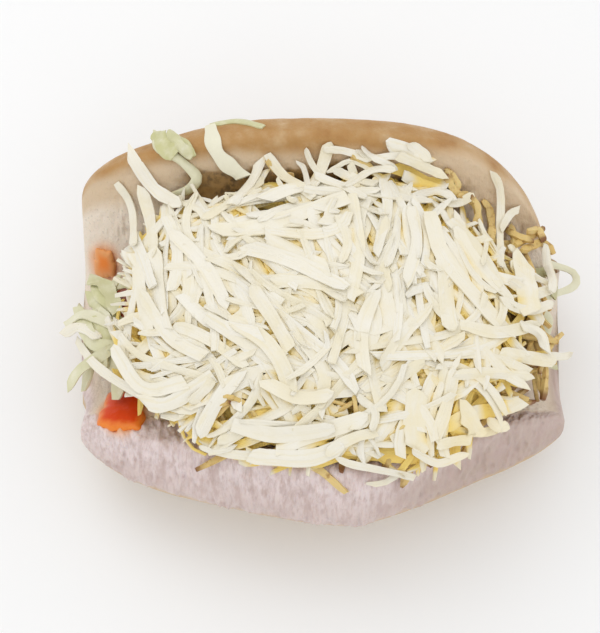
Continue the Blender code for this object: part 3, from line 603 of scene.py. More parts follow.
def sight_line(pixel):
    """The eye's place and the direction in which it sees a pixel."""
    elevation = math.radians(EYE_ELEVATION)
    back = np.array([0.0, -math.cos(elevation), math.sin(elevation)])
    upward = np.array([0.0, math.sin(elevation), math.cos(elevation)])
    right = (pixel[0] - PICTURE_MIDDLE[0]) / FOCAL_PIXELS
    up = (PICTURE_MIDDLE[1] - pixel[1]) / FOCAL_PIXELS
    direction = np.array([right, 0.0, 0.0]) + up * upward - back
    return EYE_TARGET + EYE_DISTANCE * back, direction / np.linalg.norm(direction)


def smooth_path(points, steps):
    """A curve through the points: Catmull-Rom pieces, read at equal lengths."""
    padded = np.concatenate([[2 * points[0] - points[1]], points, [2 * points[-1] - points[-2]]])
    share = np.linspace(0, 1, 17)[:, None]
    pieces = []
    for a, b, c, d in zip(padded, padded[1:], padded[2:], padded[3:]):
        pieces.append(0.5 * (2 * b + (c - a) * share + (2 * a - 5 * b + 4 * c - d) * share ** 2
                             + (3 * b - a - 3 * c + d) * share ** 3))
    curve = np.concatenate(pieces)
    walked = walk_along(curve)
    places = np.linspace(0, walked[-1], steps)
    return np.stack([np.interp(places, walked, curve[:, k]) for k in range(3)], axis=1)


def core_slope(core, x, y):
    """How much a core's level is tilted and drooped at (x, y)."""
    return HEAP_LEVEL_TILT * (y - core["middle"][1]) - core["droop"] * (np.abs(x) / (BUN_LENGTH / 2)) ** 3


def core_place(core, long, wide):
    """(x, y) of the point this far along and across a core's turned axes."""
    turn = math.radians(core["turn"])
    return (core["middle"][0] + long * math.cos(turn) - wide * math.sin(turn),
            core["middle"][1] + long * math.sin(turn) + wide * math.cos(turn))


def core_top(core, x, y):
    """Height of a core's upper face over (x, y), and how far out the point is, 1 at the outline.

    The outline is the superellipse |u|^p + |v|^p = 1 with p = 2 / squareness, in the core's turned axes.
    The face rises over the tilted level as the square root of 1 less the distance squared."""
    middle_x, middle_y, level = core["middle"]
    half_x, half_y = core["half"]
    turn = math.radians(core["turn"])
    long = (x - middle_x) * math.cos(turn) + (y - middle_y) * math.sin(turn)
    wide = (y - middle_y) * math.cos(turn) - (x - middle_x) * math.sin(turn)
    power = 2 / CORE_SQUARENESS
    out = (np.abs(long / half_x) ** power + np.abs(wide / half_y) ** power) ** (1 / power)
    return level + core_slope(core, x, y) + core["rise"] * np.sqrt(np.clip(1 - out ** 2, 0, 1)), out


def core_rings(core, rings, segments, lumps):
    """Points of a core: a lens of rings from its underside to its top, with noise lumps on it."""
    half_x, half_y = core["half"]
    latitude = np.linspace(-math.pi / 2, math.pi / 2, rings)[1:-1, None]
    angle = np.arange(segments)[None, :] * 2 * math.pi / segments
    ring = np.cos(latitude) * (1 + BUMP_HEIGHT * np.sin(BUMPS * angle + 2))
    long = half_x * ring * np.sign(np.cos(angle)) * np.abs(np.cos(angle)) ** CORE_SQUARENESS
    wide = half_y * ring * np.sign(np.sin(angle)) * np.abs(np.sin(angle)) ** CORE_SQUARENESS
    x, y = core_place(core, long, wide)
    tall = np.where(latitude > 0, core["rise"], core["depth"])
    level = core["middle"][2] + core_slope(core, x, y)
    points = np.stack([x, y, np.broadcast_to(level + tall * np.sin(latitude), x.shape)], axis=-1)
    points[..., 2] += lumps * (noise(points, 7.0, 3) + 0.6 * noise(points, 2.6, 4))
    return points


def lowered(core, drop, share):
    """A copy of a core with a lower top and a smaller outline, for shreds to cover."""
    x, y, level = core["middle"]
    return {**core, "middle": (x, y, level - LEVEL_SHARE * drop),
            "rise": core["rise"] - (1 - LEVEL_SHARE) * drop,
            "half": tuple(share * half for half in core["half"])}


def wandering_paths(middles, headings, lengths, bends, stations):
    """Level paths whose heading changes evenly: it is h + b * s + c * s^2, integrated along s."""
    share = np.linspace(-0.5, 0.5, stations)
    walked = share[None, :] * lengths[:, None]
    heading = headings[:, None] + bends[:, 0:1] * walked + bends[:, 1:2] * walked ** 2
    step = lengths[:, None] / (stations - 1)
    x = np.cumsum(np.cos(heading) * step, axis=1)
    y = np.cumsum(np.sin(heading) * step, axis=1)
    middle = stations // 2
    x += middles[:, :1] - x[:, middle:middle + 1]
    y += middles[:, 1:] - y[:, middle:middle + 1]
    return np.stack([x, y], axis=-1)


def flow_heading(x, y):
    """The shreds' heading at (x, y): the mean of the doubled angles of CHEESE_FLOW, weighted by the
    inverse square of the distance in the picture."""
    flow = np.array(CHEESE_FLOW, float)
    pixel_x = PICTURE_MIDDLE[0] + x * PIXELS_PER_MM
    pixel_y = PICTURE_MIDDLE[1] - PIXELS_PER_MM * (
        (y - EYE_TARGET[1]) * math.sin(math.radians(EYE_ELEVATION))
        + HEAP_RISE_SEEN * math.cos(math.radians(EYE_ELEVATION)))
    away = (pixel_x[..., None] - flow[:, 0]) ** 2 + (pixel_y[..., None] - flow[:, 1]) ** 2
    weight = 1 / (away + 200.0)
    double = 2 * np.radians(flow[:, 2])
    return 0.5 * np.arctan2((weight * np.sin(double)).sum(-1), (weight * np.cos(double)).sum(-1))


def band_profile(sides, squareness, ridges):
    """A loop round a band: a superellipse with ridges along its upper and lower face."""
    angle = (np.arange(sides) + 0.5) / sides * 2 * math.pi
    across = np.sign(np.cos(angle)) * np.abs(np.cos(angle)) ** squareness
    tall = np.sign(np.sin(angle)) * np.abs(np.sin(angle)) ** squareness
    return across, tall * (1 + ridges * np.cos(3 * math.pi * across))


def ribbon_profile(half, edge):
    """A loop round a ribbon: from edge to edge over the top and back below. Its half thickness is
    edge + (1 - edge) * (1 - across^4)."""
    across = np.sin(np.linspace(1, -1, half) * math.pi / 2)
    tall = edge + (1 - edge) * (1 - across ** 4)
    return np.concatenate([across, across[::-1]]), np.concatenate([tall, -tall])


def band_points(paths, leans, widths, thicknesses, curls, profile):
    """Points of many bands. At each station the profile is set square to the path, leant about it, and
    bent into a shallow gutter whose depth is curl * width * (across^2 - 0.4)."""
    ahead = unit(np.gradient(paths, axis=1))
    side = unit(np.cross(ahead, [0.0, 0.0, 1.0]))
    up = np.cross(side, ahead)
    cos, sin = np.cos(leans)[..., None], np.sin(leans)[..., None]
    side, up = side * cos + up * sin, up * cos - side * sin
    across = widths[..., None] / 2 * profile[0]
    tall = thicknesses[..., None] / 2 * profile[1]
    tall = tall + curls[:, None, None] * widths[..., None] * (profile[0] ** 2 - 0.4)
    return (paths[:, :, None, :] + across[..., None] * side[:, :, None, :]
            + tall[..., None] * up[:, :, None, :])


def slanted(points, draw, slant):
    """Slants the ends of bands: each point moves along its band with its distance from the middle line,
    more so near the ends."""
    middle = points.mean(axis=2, keepdims=True)
    ahead = unit(np.gradient(middle[:, :, 0], axis=1))
    side = np.cross(ahead, [0.0, 0.0, 1.0])
    across = np.einsum("nsck,nsk->nsc", points - middle, side)
    share = np.linspace(-1, 1, points.shape[1])[None, :]
    pull = np.where(share < 0, draw.normal(0, slant, (len(points), 1)),
                    draw.normal(0, slant, (len(points), 1))) * np.abs(share) ** 4
    return points + (across * pull[..., None])[..., None] * ahead[:, :, None, :]


def tapers(count, stations, draw, tip, reach_in, wavering):
    """Width shares along each band: full in the middle, straight down to tips that differ, with a slow
    waver. `reach_in` is the least and greatest share of a half that a tip takes."""
    share = np.linspace(-1, 1, stations)[None, :]
    tips = draw.uniform(*tip, (count, 2)) ** 1.5
    tip_here = np.where(share < 0, tips[:, :1], tips[:, 1:])
    long = draw.uniform(*reach_in, (count, 2))
    long_here = np.where(share < 0, long[:, :1], long[:, 1:])
    full = np.clip((1 - np.abs(share)) / long_here, 0, 1) ** 0.75
    waver = 1 + wavering * np.sin(share * draw.uniform(3, 9, (count, 1)) + draw.uniform(0, 6, (count, 1)))
    return (tip_here + (1 - tip_here) * full) * waver


def in_windows(paths, windows):
    """How much of each path lies in the windows: the sum of what its points lack to their outlines."""
    away = np.hypot((paths[..., 0, None] - windows[:, 0]) / windows[:, 2],
                    (paths[..., 1, None] - windows[:, 1]) / windows[:, 3])
    return np.clip(1.0 - away.min(axis=-1), 0, None).sum(axis=-1)


class Shreds:
    """Shreds of one kind, laid one after another on the height map."""

    def __init__(self, seed, stations, thickness, sink):
        self.draw = np.random.default_rng(seed)
        self.stations, self.thickness, self.sink = stations, thickness, sink
        self.laid = []

    def lay(self, path, width):
        thick = self.thickness * self.draw.uniform(0.8, 1.2)
        placed, lean = PILE.lay(path, width, 0.8 * thick, self.sink)
        self.laid.append((placed, lean, width, thick))

    def lay_through(self, pixels, width):
        self.lay(PILE.path_through(np.reshape(pixels, (-1, 2)), self.stations), width)

    def strew(self, core, count, widths, lengths, bend, spread, room, keep_open=None):
        """Strews up to `count` shreds over a core. Of several random paths, the one is taken that rises
        least over the core's face, keeps inside its outline and keeps out of the gaps. None is laid
        where the best would still rise over the face less `room`."""
        draw, tries = self.draw, PATH_TRIES
        for _ in range(count):
            angle = draw.uniform(0, 2 * math.pi, tries)
            away = np.sqrt(draw.uniform(0, 1, tries))
            half_x, half_y = core["half"]
            x, y = core_place(core, half_x * away * np.cos(angle), half_y * away * np.sin(angle))
            heading = flow_heading(x, y) + draw.normal(0, spread, tries)
            bends = bend * np.stack([np.clip(draw.standard_t(3, tries), -4, 4),
                                     draw.normal(0, 0.06, tries)], axis=1)
            paths = wandering_paths(np.stack([x, y], axis=1), heading, draw.uniform(*lengths, tries), bends,
                                    self.stations)
            top, out = core_top(core, paths[..., 0], paths[..., 1])
            over = self.over(paths, top)
            cost = over + OUTLINE_COST * np.clip(out.max(axis=1) - OUTLINE_MARGIN, 0, None)
            if keep_open is not None:
                cost = cost + GAP_COST * in_windows(paths, keep_open)
            best = np.argmin(cost)
            if cost[best] < -room:
                self.lay(paths[best], widths[0] + (widths[1] - widths[0]) * draw.beta(*WIDTH_DRAW))

    def over(self, paths, top):
        """How far each path's shred would lie over the heap's face."""
        return (PILE.at(paths[..., 0], paths[..., 1]) - top).max(axis=1)

    def points(self, profile, tips, tip_reach, wavering, twist, lift, curl, slant):
        """Points of all shreds, with slow twists, lifted tips, gutters and slanted ends."""
        draw = self.draw
        placed, leans, widths, thick = (np.array(column) for column in zip(*self.laid))
        count, share = len(placed), np.linspace(-1, 1, self.stations)
        leans += twist * (draw.normal(0, 1, (count, 1)) * share + draw.normal(0, 0.5, (count, 1)))
        lifts = np.abs(draw.normal(0, lift, (count, 2)))
        placed[..., 2] += np.where(share < 0, lifts[:, :1], lifts[:, 1:]) * np.abs(share) ** 3
        full = tapers(count, self.stations, draw, tips, tip_reach, wavering)
        points = band_points(placed, leans, widths[:, None] * full, thick[:, None] * full ** 0.3,
                             draw.normal(0, curl, count), profile)
        return slanted(points, draw, slant)


def finish_slot(thing, finish, slot, *nodes):
    """Gives a piece its material and its place in the frame."""
    thing.data.materials.clear()
    thing.data.materials.append(finish)
    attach(thing, "root")
    if nodes:
        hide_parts(*nodes)


class Finish:
    """A Principled material, with short ways to add texture nodes to it."""

    def __init__(self, name, **values):
        self.material = bpy.data.materials.new(name)
        self.material.use_nodes = True
        self.nodes, self.links = self.material.node_tree.nodes, self.material.node_tree.links
        self.shader = self.nodes["Principled BSDF"]
        for socket, value in values.items():
            self.shader.inputs[socket.replace("_", " ")].default_value = value

    def node(self, kind, **inputs):
        made = self.nodes.new(kind)
        for name, value in inputs.items():
            self.put(made.inputs[name.replace("_", " ")], value)
        return made

    def put(self, socket, value):
        if isinstance(value, bpy.types.NodeSocket):
            self.links.new(value, socket)
        else:
            socket.default_value = value

    def place(self, scale=(1.0, 1.0, 1.0)):
        """Object coordinates, scaled."""
        where = self.node("ShaderNodeTexCoord").outputs["Object"]
        return self.node("ShaderNodeMapping", Vector=where, Scale=scale).outputs["Vector"]

    def lengths(self, scale):
        """The piece's own map of lengths along and across it."""
        where = self.nodes.new("ShaderNodeUVMap")
        where.uv_map = "lengths"
        return self.node("ShaderNodeMapping", Vector=where.outputs["UV"], Scale=scale).outputs["Vector"]

    def mark(self, name):
        """A number kept on the piece's vertices."""
        read = self.nodes.new("ShaderNodeAttribute")
        read.attribute_name = name
        return read.outputs["Fac"]

    def noise(self, where, scale, detail=4.0, roughness=0.55):
        return self.node("ShaderNodeTexNoise", Vector=where, Scale=scale, Detail=detail,
                         Roughness=roughness).outputs["Fac"]

    def math(self, kind, a, b):
        made = self.nodes.new("ShaderNodeMath")
        made.operation = kind
        self.put(made.inputs[0], a)
        self.put(made.inputs[1], b)
        return made.outputs[0]

    def plus(self, a, b):
        return self.math("ADD", a, b)

    def times(self, a, b):
        return self.math("MULTIPLY", a, b)

    def between(self, value, low, high):
        """0 below `low`, 1 above `high`, smooth between."""
        made = self.nodes.new("ShaderNodeMapRange")
        made.interpolation_type = "SMOOTHSTEP"
        for name, number in (("Value", value), ("From Min", low), ("From Max", high)):
            self.put(made.inputs[name], number)
        return made.outputs["Result"]

    def blend(self, factor, first, second):
        made = self.nodes.new("ShaderNodeMix")
        made.data_type = "RGBA"
        self.put(made.inputs["Factor"], factor)
        for name, colour in (("A", first), ("B", second)):
            socket = [s for s in made.inputs if s.name == name and s.type == "RGBA"][0]
            self.put(socket, colour if isinstance(colour, bpy.types.NodeSocket) else (*colour[:3], 1.0))
        return [s for s in made.outputs if s.type == "RGBA"][0]

    def colour(self, value):
        self.put(self.shader.inputs["Base Color"], value)

    def bump(self, height, distance, strength=1.0):
        made = self.node("ShaderNodeBump", Height=height, Distance=distance, Strength=strength)
        self.put(self.shader.inputs["Normal"], made.outputs["Normal"])

    def rough(self, value):
        self.put(self.shader.inputs["Roughness"], value)


def linear(*levels):
    """Colour levels of 0 to 255, as a picture stores them, turned into light."""
    level = np.array(levels) / 255.0
    light = np.where(level <= 0.04045, level / 12.92, ((level + 0.055) / 1.055) ** 2.4)
    return tuple(float(v) for v in light)


def shaded(colour, *factors):
    """A colour with each level multiplied by its factor, or all by the only one."""
    return [min(1.0, level * factor) for level, factor in zip(colour, factors * (3 // len(factors)))]


def colour_property(name, description, *levels):
    return bpy.props.FloatVectorProperty(name=name, description=description, subtype="COLOR", size=3,
                                         min=0.0, max=1.0, default=linear(*levels))


def count_property(name, description, count):
    return bpy.props.IntProperty(name=name, description=description, default=count, min=0)


def length_property(name, description, millimetres):
    return bpy.props.FloatProperty(name=name, description=description, default=millimetres * MM,
                                   min=0.0, subtype="DISTANCE", unit="LENGTH")


class HotDogBun(bpy.types.PropertyGroup):
    """Relief and colours of the bun."""

    torn_relief: length_property("Torn relief", "Height of the fibres on the torn near side", 0.6)
    crumb_relief: length_property("Crumb relief", "Depth of the pores in the cut faces", 0.5)
    golden: colour_property("Golden crust", "Browned top of the far half", 180, 136, 78)
    tan: colour_property("Tan crust", "Paler baked crust on the sides", 204, 174, 132)
    torn: colour_property("Torn side", "Pale side where buns were pulled apart", 230, 214, 212)
    crumb: colour_property("Crumb", "Soft white inside", 232, 218, 200)
    # Brown crumb beside the filling: stain, and painted shade where the cavity under the heap is dark
    stained_and_shaded: colour_property("Stained crumb", "Crumb soaked brown beside the filling", 158, 124, 74)
    soaked: colour_property("Soaked bread", "Bread round the tomato sauce", 228, 158, 98)


class HotDogFilling(bpy.types.PropertyGroup):
    """Amounts, sizes and colours of the filling."""

    cheese_count: count_property("Cheese shreds", "Shreds strewn under the top ones", 1500)
    straw_count: count_property("Straw potatoes", "Straws strewn over their heap", 210)
    cabbage_count: count_property("Cabbage shreds", "Shreds strewn over their heap", 60)
    cheese_thickness: length_property("Cheese thickness", "Thickness of a cheese shred", 0.75)
    straw_thickness: length_property("Straw thickness", "Thickness of a straw potato", 1.8)
    cabbage_thickness: length_property("Cabbage thickness", "Thickness of a cabbage shred", 0.9)
    cheese_white: colour_property("Cheese", "Shreds on top of the heap", 239, 235, 223)
    # Painted shade: the golden colour given to shreds down in the heap, in place of the light that turns
    # golden there
    cheese_golden_shade: colour_property("Deep cheese", "Shreds down in the heap, where light turns golden",
                                 250, 221, 122)
    # Painted shade together with brown filling, in the dark gaps under the far edge of the cheese
    gap_brown_and_shade: colour_property("Dark gaps", "What shows under the far edge of the cheese", 120, 86, 50)
    straw: colour_property("Straw potatoes", "Fried straws", 214, 182, 110)
    # Also the colour of most of the potato core under the straws, as painted shade between them
    straw_tip: colour_property("Straw tips", "Browned tips of the straws", 124, 78, 36)
    cabbage_white: colour_property("White cabbage", "Pale ribs", 234, 230, 208)
    cabbage_green: colour_property("Green cabbage", "Pale green leaf", 198, 196, 142)
    sauce: colour_property("Tomato sauce", "Middle of the pool", 222, 66, 0)
    sauce_edge: colour_property("Sauce edge", "Thin sauce at the pool's edge", 236, 134, 50)
    sausage: colour_property("Sausage", "Cooked skin", 150, 70, 40)


class HotDogSettings(bpy.types.PropertyGroup):
    """All settings of the hot dog."""

    bun: bpy.props.PointerProperty(type=HotDogBun)
    filling: bpy.props.PointerProperty(type=HotDogFilling)


PILE = HeightMap()


def bun_zones(turns):
    """For points round the section: which half, how far up it, and how deep from its cut face."""
    flat, _ = around(SECTION, turns)
    far = flat[..., 0] > CREASE[0]
    away = flat - CREASE
    up = np.where(far, away @ FAR_ALONG, away @ NEAR_ALONG)
    depth = np.where(far, away @ FAR_INTO, away @ NEAR_INTO)
    return far, up, depth


def sauce_distance(sauce, share, turns):
    """How far a bun point is from a pool, 1 at its edge."""
    along = (share - sauce["place"][0]) / sauce["reach"][0]
    round_it = (turns - sauce["place"][1]) / sauce["reach"][1]
    return np.hypot(along, round_it)


def make_bun(settings):
    """The bun: bun_surface on a grid that is finer at the rims, with noise relief out along its normal."""
    even = np.linspace(-1, 1, BUN_STATIONS)
    share = (1 - END_CROWDING) * even + END_CROWDING * np.sin(even * math.pi / 2)
    fine = np.linspace(0, 1, 2001)
    weight = np.ones_like(fine)
    for low, high in (NEAR_RIM, FAR_RIM):
        weight[(fine > low) & (fine < high)] = RIM_CROWDING
    crowded = np.concatenate([[0.0], np.cumsum((weight[1:] + weight[:-1]) / 2)])
    turns = np.interp(np.arange(BUN_ROUNDS) / BUN_ROUNDS * crowded[-1], crowded, fine)
    share, turns = np.meshgrid(share, turns, indexing="ij")

    far, up, depth = bun_zones(turns)
    points = bun_surface(share, turns)
    width = np.where(far, FAR_WIDTH, NEAR_WIDTH)
    thickness = np.where(far, FAR_THICKNESS, NEAR_THICKNESS)
    blur = noise(points, 9.0, 11)
    cut = 1 - smoothstep((depth - CUT_DEPTH + 0.6 * blur) / 2.0)
    end = smoothstep((np.abs(share) - 0.9) / 0.09)
    frayed = smoothstep((up - width + TORN_STRIP + 2.0 * blur) / 5)
    torn_near = frayed * (1 - smoothstep((depth - thickness + TORN_EDGE + 1.2 * blur) / 3.0))
    torn_end = end * smoothstep(up / 8) * (1 - smoothstep((depth - thickness + TORN_END_EDGE) / 3))
    torn = np.where(far, 0.0, np.maximum(torn_near, torn_end))
    warm = np.where(far, 0.65 * smoothstep((up - WARM_UP + 2.0 * blur) / 10), 0.0)
    cut = cut * (1 - torn) * (1 - warm)
    golden = np.where(far, smoothstep((depth - GOLDEN_DEPTH + 1.4 * blur) / 4.5), 0.0)
    golden = golden * smoothstep((up - GOLDEN_UP) / 22)
    top_band = 9.0 - 5.5 * smoothstep((share - 0.15) / 0.5) - 3.0 * smoothstep((-share - 0.55) / 0.3)
    golden_top = np.where(far, smoothstep((up - width + top_band + 2.0 * blur) / 6.0), 0.0)
    golden = np.maximum(golden, golden_top)
    golden *= 1 - 0.6 * smoothstep((share - 0.7) / 0.2) - 0.3 * smoothstep((-share - 0.9) / 0.1)
    cut = cut * (1 - golden_top)
    ragged = 3.0 * noise(points, 5.0, 12) + 1.5 * noise(points, 1.8, 13)
    # Painted shade and stain: cut faces low down beside the filling are marked for brown crumb
    stain_and_shade = np.where(far, 1 - smoothstep((up - STAIN_AND_SHADE_FAR_UP + ragged) / 2.5),
                     1 - smoothstep((up - STAIN_AND_SHADE_NEAR_UP + ragged) / 4.0))
    beside = 1 - smoothstep((np.abs(points[..., 0] + 1.0) - STAIN_AND_SHADE_HALF + ragged) / 8.0)
    stain_and_shade = stain_and_shade * (depth < STAIN_AND_SHADE_DEPTH) * beside
    # Painted shade on the torn near side: darker towards the right and further down the side
    near_side_shade = 0.9 * smoothstep((points[..., 0] - 5.0) / 55.0) + 0.5 * smoothstep((depth - 4.0) / 14.0)

    strip = np.stack([points[..., 0], turns * SECTION_LENGTH * STRIP_SQUASH, np.zeros_like(turns)], axis=-1)
    fibres = noise(strip, 1.3, 21) + 0.7 * noise(strip, 0.65, 22) + 0.8 * noise(points, 4.0, 23)
    pores = -np.clip(noise(points, 1.9, 24) - 0.1, 0, 1) * 2 + 0.5 * noise(points, 0.9, 25)
    wrinkles = 0.10 * noise(points, 5.0, 26) + 0.05 * noise(points, 1.8, 27)
    swell = 0.7 * noise(points, 24.0, 28) + 0.3 * noise(points, 11.0, 29)
    relief = (settings.torn_relief / MM * torn * fibres + settings.crumb_relief / MM * cut * pores
              + wrinkles * (1 - cut) + swell * smoothstep((depth - 1.0) / 4.0))
    relief *= 1 - 0.6 * smoothstep((np.abs(share) - 0.8) / 0.15)
    relief *= 1 - smoothstep((np.abs(share) - 0.985) / 0.015)
    points = bun_surface(share, turns, relief)

    soak = np.maximum(1 - smoothstep((sauce_distance(FRONT_SAUCE, share, turns) - 0.85) / 0.5),
                      1 - smoothstep((sauce_distance(BACK_SAUCE, share, turns) - 0.6) / 1.6))
    marks = {"cut": cut, "torn": torn, "golden": golden, "soak": soak, "stain_and_shade": stain_and_shade, "near_side_shade": near_side_shade}
    lengths = np.stack([points[..., 0], turns * SECTION_LENGTH], axis=-1).reshape(-1, 2) * MM
    thing = make_mesh("soft_bun", points.reshape(-1, 3), tube_faces(points), marks, lengths)
    dense = bun_surface(np.linspace(-1, 1, 900)[:, None], np.linspace(0, 1, 1100)[None, :])
    PILE.raise_to(dense[..., 0], dense[..., 1], dense[..., 2])
    return thing


def bun_finish(settings):
    """Baked bread: crumb, torn fibres, tan and golden crust, mixed by the zones kept on the vertices."""
    made = Finish("baked_bread", Roughness=0.72, Subsurface_Weight=0.12, Subsurface_Scale=0.004,
                  Subsurface_Radius=(1.0, 0.6, 0.35))
    place, strip = made.place(), made.lengths((1.0, 0.28, 1.0))
    blotch = made.noise(place, 130.0, 5.0)
    fibre = made.noise(strip, 900.0, 4.0, 0.65)
    fine = made.noise(place, 1400.0, 3.0)
    crust = made.blend(made.times(made.mark("golden"), made.between(blotch, 0.15, 0.55)),
                       settings.tan, settings.golden)
    browner = shaded(settings.golden, 0.80, 0.68, 0.55)
    crust = made.blend(made.times(made.mark("golden"), made.between(blotch, 0.52, 0.8)),
                       crust, browner)
    torn_dark = shaded(settings.torn, 0.68, 0.60, 0.56)
    # The torn side's colour in painted shade
    torn_in_shade = shaded(settings.torn, 0.66, 0.60, 0.52)
    speck = made.noise(strip, 300.0, 6.0, 0.7)
    torn = made.blend(made.between(made.mark("near_side_shade"), 0.0, 1.2), settings.torn, torn_in_shade)
    torn = made.blend(made.times(made.between(fibre, 0.44, 0.72), 0.8), torn, torn_dark)
    torn = made.blend(made.times(made.between(speck, 0.48, 0.64), 0.7), torn, torn_dark)
    torn = made.blend(made.between(blotch, 0.45, 0.85), torn, torn_dark)
    pores = shaded(settings.crumb, 0.78)
    crumb = made.blend(made.between(fine, 0.55, 0.75), settings.crumb, pores)
    bread = made.blend(made.mark("torn"), crust, torn)
    bread = made.blend(made.mark("cut"), bread, crumb)
    # Brown crumb with darker blotches beside the filling: stain together with painted shade of the cavity
    stain_and_shade_blotch = made.noise(place, 380.0, 5.0)
    brown_and_shade = made.blend(made.between(stain_and_shade_blotch, 0.42, 0.66), settings.stained_and_shaded, shaded(settings.stained_and_shaded, 0.45))
    bread = made.blend(made.mark("stain_and_shade"), bread, brown_and_shade)
    made.colour(made.blend(made.mark("soak"), bread, settings.soaked))
    height = made.plus(made.times(fibre, 0.6), made.times(fine, 0.4))
    made.bump(height, 0.0006, 0.7)
    made.rough(made.between(blotch, -0.6, 1.6))
    return made.material


def sausage_axis():
    """Where the sausage's middle line crosses the section: both cut faces are a radius and a gap away."""
    half_opening = math.acos(float(NEAR_ALONG @ FAR_ALONG)) / 2
    bisector = (NEAR_ALONG + FAR_ALONG) / np.linalg.norm(NEAR_ALONG + FAR_ALONG)
    return CREASE + bisector * (SAUSAGE_RADIUS + 2 * GAP) / math.sin(half_opening)


def make_sausage():
    """A tube with round ends: the radius is constant, then the root of 1 less the cap's share squared."""
    straight = SAUSAGE_LENGTH / 2 - SAUSAGE_RADIUS
    x = np.concatenate([
        -straight - SAUSAGE_RADIUS * np.cos(np.linspace(CAP_START, math.pi / 2, CAP_RINGS)),
        np.linspace(-straight, straight, SAUSAGE_STATIONS)[1:-1],
        straight + SAUSAGE_RADIUS * np.cos(np.linspace(math.pi / 2, CAP_START, CAP_RINGS)),
    ])
    past = np.clip(np.abs(x) - straight, 0, None) / SAUSAGE_RADIUS
    radius = SAUSAGE_RADIUS * np.sqrt(np.clip(1 - past ** 2, 0, 1))
    angle = np.arange(SAUSAGE_ROUNDS) * 2 * math.pi / SAUSAGE_ROUNDS
    y, z = sausage_axis()
    rings = np.stack([np.broadcast_to(x[:, None], (len(x), SAUSAGE_ROUNDS)),
                      y + radius[:, None] * np.cos(angle), z + radius[:, None] * np.sin(angle)], axis=-1)
    wrinkle = 0.18 * noise(rings, (1.6, 5.0, 5.0), 31) + 0.1 * noise(rings, 0.9, 32)
    rings[..., 1] += wrinkle * np.cos(angle)
    rings[..., 2] += wrinkle * np.sin(angle)
    thing = make_mesh("cooked_sausage", rings.reshape(-1, 3), tube_faces(rings))
    PILE.raise_to(rings[..., 0], rings[..., 1], rings[..., 2])
    return thing


def sausage_finish(settings):
    """Glossy cooked skin with darker grilled patches."""
    made = Finish("cooked_skin", Roughness=0.35, Subsurface_Weight=0.1, Subsurface_Scale=0.003,
                  Coat_Weight=0.25, Coat_Roughness=0.2)
    place = made.place((0.5, 1.0, 1.0))
    patch = made.noise(place, 160.0, 5.0)
    dark = shaded(settings.sausage, 0.45)
    made.colour(made.blend(made.between(patch, 0.45, 0.7), settings.sausage, dark))
    made.bump(made.noise(place, 900.0, 3.0), 0.0004, 0.5)
    return made.material


def gathered(name, groups):
    """One mesh from groups of equal closed tubes, each given as (points, marks)."""
    points, quads, ends, marks, shift = [], [], [], {}, 0
    for rings, group_marks in groups:
        count, rows, columns, _ = rings.shape
        if facing_out(rings[0]):
            band, caps = many_tubes(count, rows, columns)
        else:
            band, caps = (faces[:, ::-1] for faces in many_tubes(count, rows, columns))
        points.append(rings.reshape(-1, 3))
        quads.append(band + shift)
        ends.append(caps + shift)
        for mark, values in group_marks.items():
            marks.setdefault(mark, []).append(np.broadcast_to(values, rings.shape[:3]).ravel())
        shift += len(points[-1])
    return make_mesh(name, np.concatenate(points), quads + ends,
                     {mark: np.concatenate(values) for mark, values in marks.items()}, crisp=True)


def nearness(x, y, gaps):
    """1 in the middle of any gap, and 0 from 1.3 of its half sizes outwards."""
    away = np.hypot((x[..., None] - gaps[:, 0]) / gaps[:, 2], (y[..., None] - gaps[:, 1]) / gaps[:, 3])
    return smoothstep((1.3 - away.min(axis=-1)) / 0.6)


def heap_heights(core, gaps=None):
    """The core's upper face on the map's cells, dented at the gaps, and 0 outside its outline."""
    x, y = np.meshgrid(MAP_LOW[0] + np.arange(MAP_SHAPE[0]) * MAP_CELL,
                       MAP_LOW[1] + np.arange(MAP_SHAPE[1]) * MAP_CELL, indexing="ij")
    top, out = core_top(core, x, y)
    if gaps is not None:
        top = top - DENT * nearness(x, y, gaps)
    return np.where(out < 1, top, 0.0)


def dark_gaps():
    """Level places and sizes of the dark gaps, seen on the cheese's own height."""
    return HeightMap(heap_heights(CHEESE_CORE) - AIM_DROP).places(DARK_GAPS)


def cover_with(core, gaps=None):
    """Raises the map to a core's upper face."""
    PILE.height = np.maximum(PILE.height, heap_heights(core, gaps))


def make_cabbage(settings):
    """Cabbage: thin rippled bands, strewn over a low core and laid where they show."""
    core = lowered(CABBAGE_CORE, CABBAGE_DROP, CABBAGE_SHARE)
    rings = core_rings(core, 50, 160, 0.8)
    cover_with(core)
    shreds = Shreds(5, 22, settings.cabbage_thickness / MM, 0.2)
    shreds.strew(CABBAGE_CORE, settings.cabbage_count, (2.6, 5.4), (18, 40), 0.025, 0.8, -1.0)
    green = list(shreds.draw.uniform(0.1, 1.0, len(shreds.laid)))
    for width, shade, *pixels in CABBAGE_SHREDS:
        shreds.lay_through(pixels, width)
        green.append(shade)
    points = shreds.points(band_profile(8, 0.5, 0.1), (0.5, 0.95), (0.1, 0.4), 0.12, 0.25, 0.3, 0.1, 0.6)
    points[..., 2] += 0.25 * noise(points, 4.0, 42)
    marks = {"green": np.array(green)[:, None, None] * np.ones(points.shape[:3])}
    return gathered("cabbage_bed", [(points, marks), (rings[None], {"green": 0.6})])


def cabbage_finish(settings):
    """Moist raw leaf, from white ribs to pale green."""
    made = Finish("moist_leaf", Roughness=0.38)
    place = made.place()
    vein = made.noise(place, 220.0, 4.0)
    shade = made.times(made.mark("green"), made.between(vein, 0.1, 0.6))
    made.colour(made.blend(shade, settings.cabbage_white, settings.cabbage_green))
    made.bump(made.noise(place, 700.0, 3.0), 0.0004, 0.5)
    return made.material


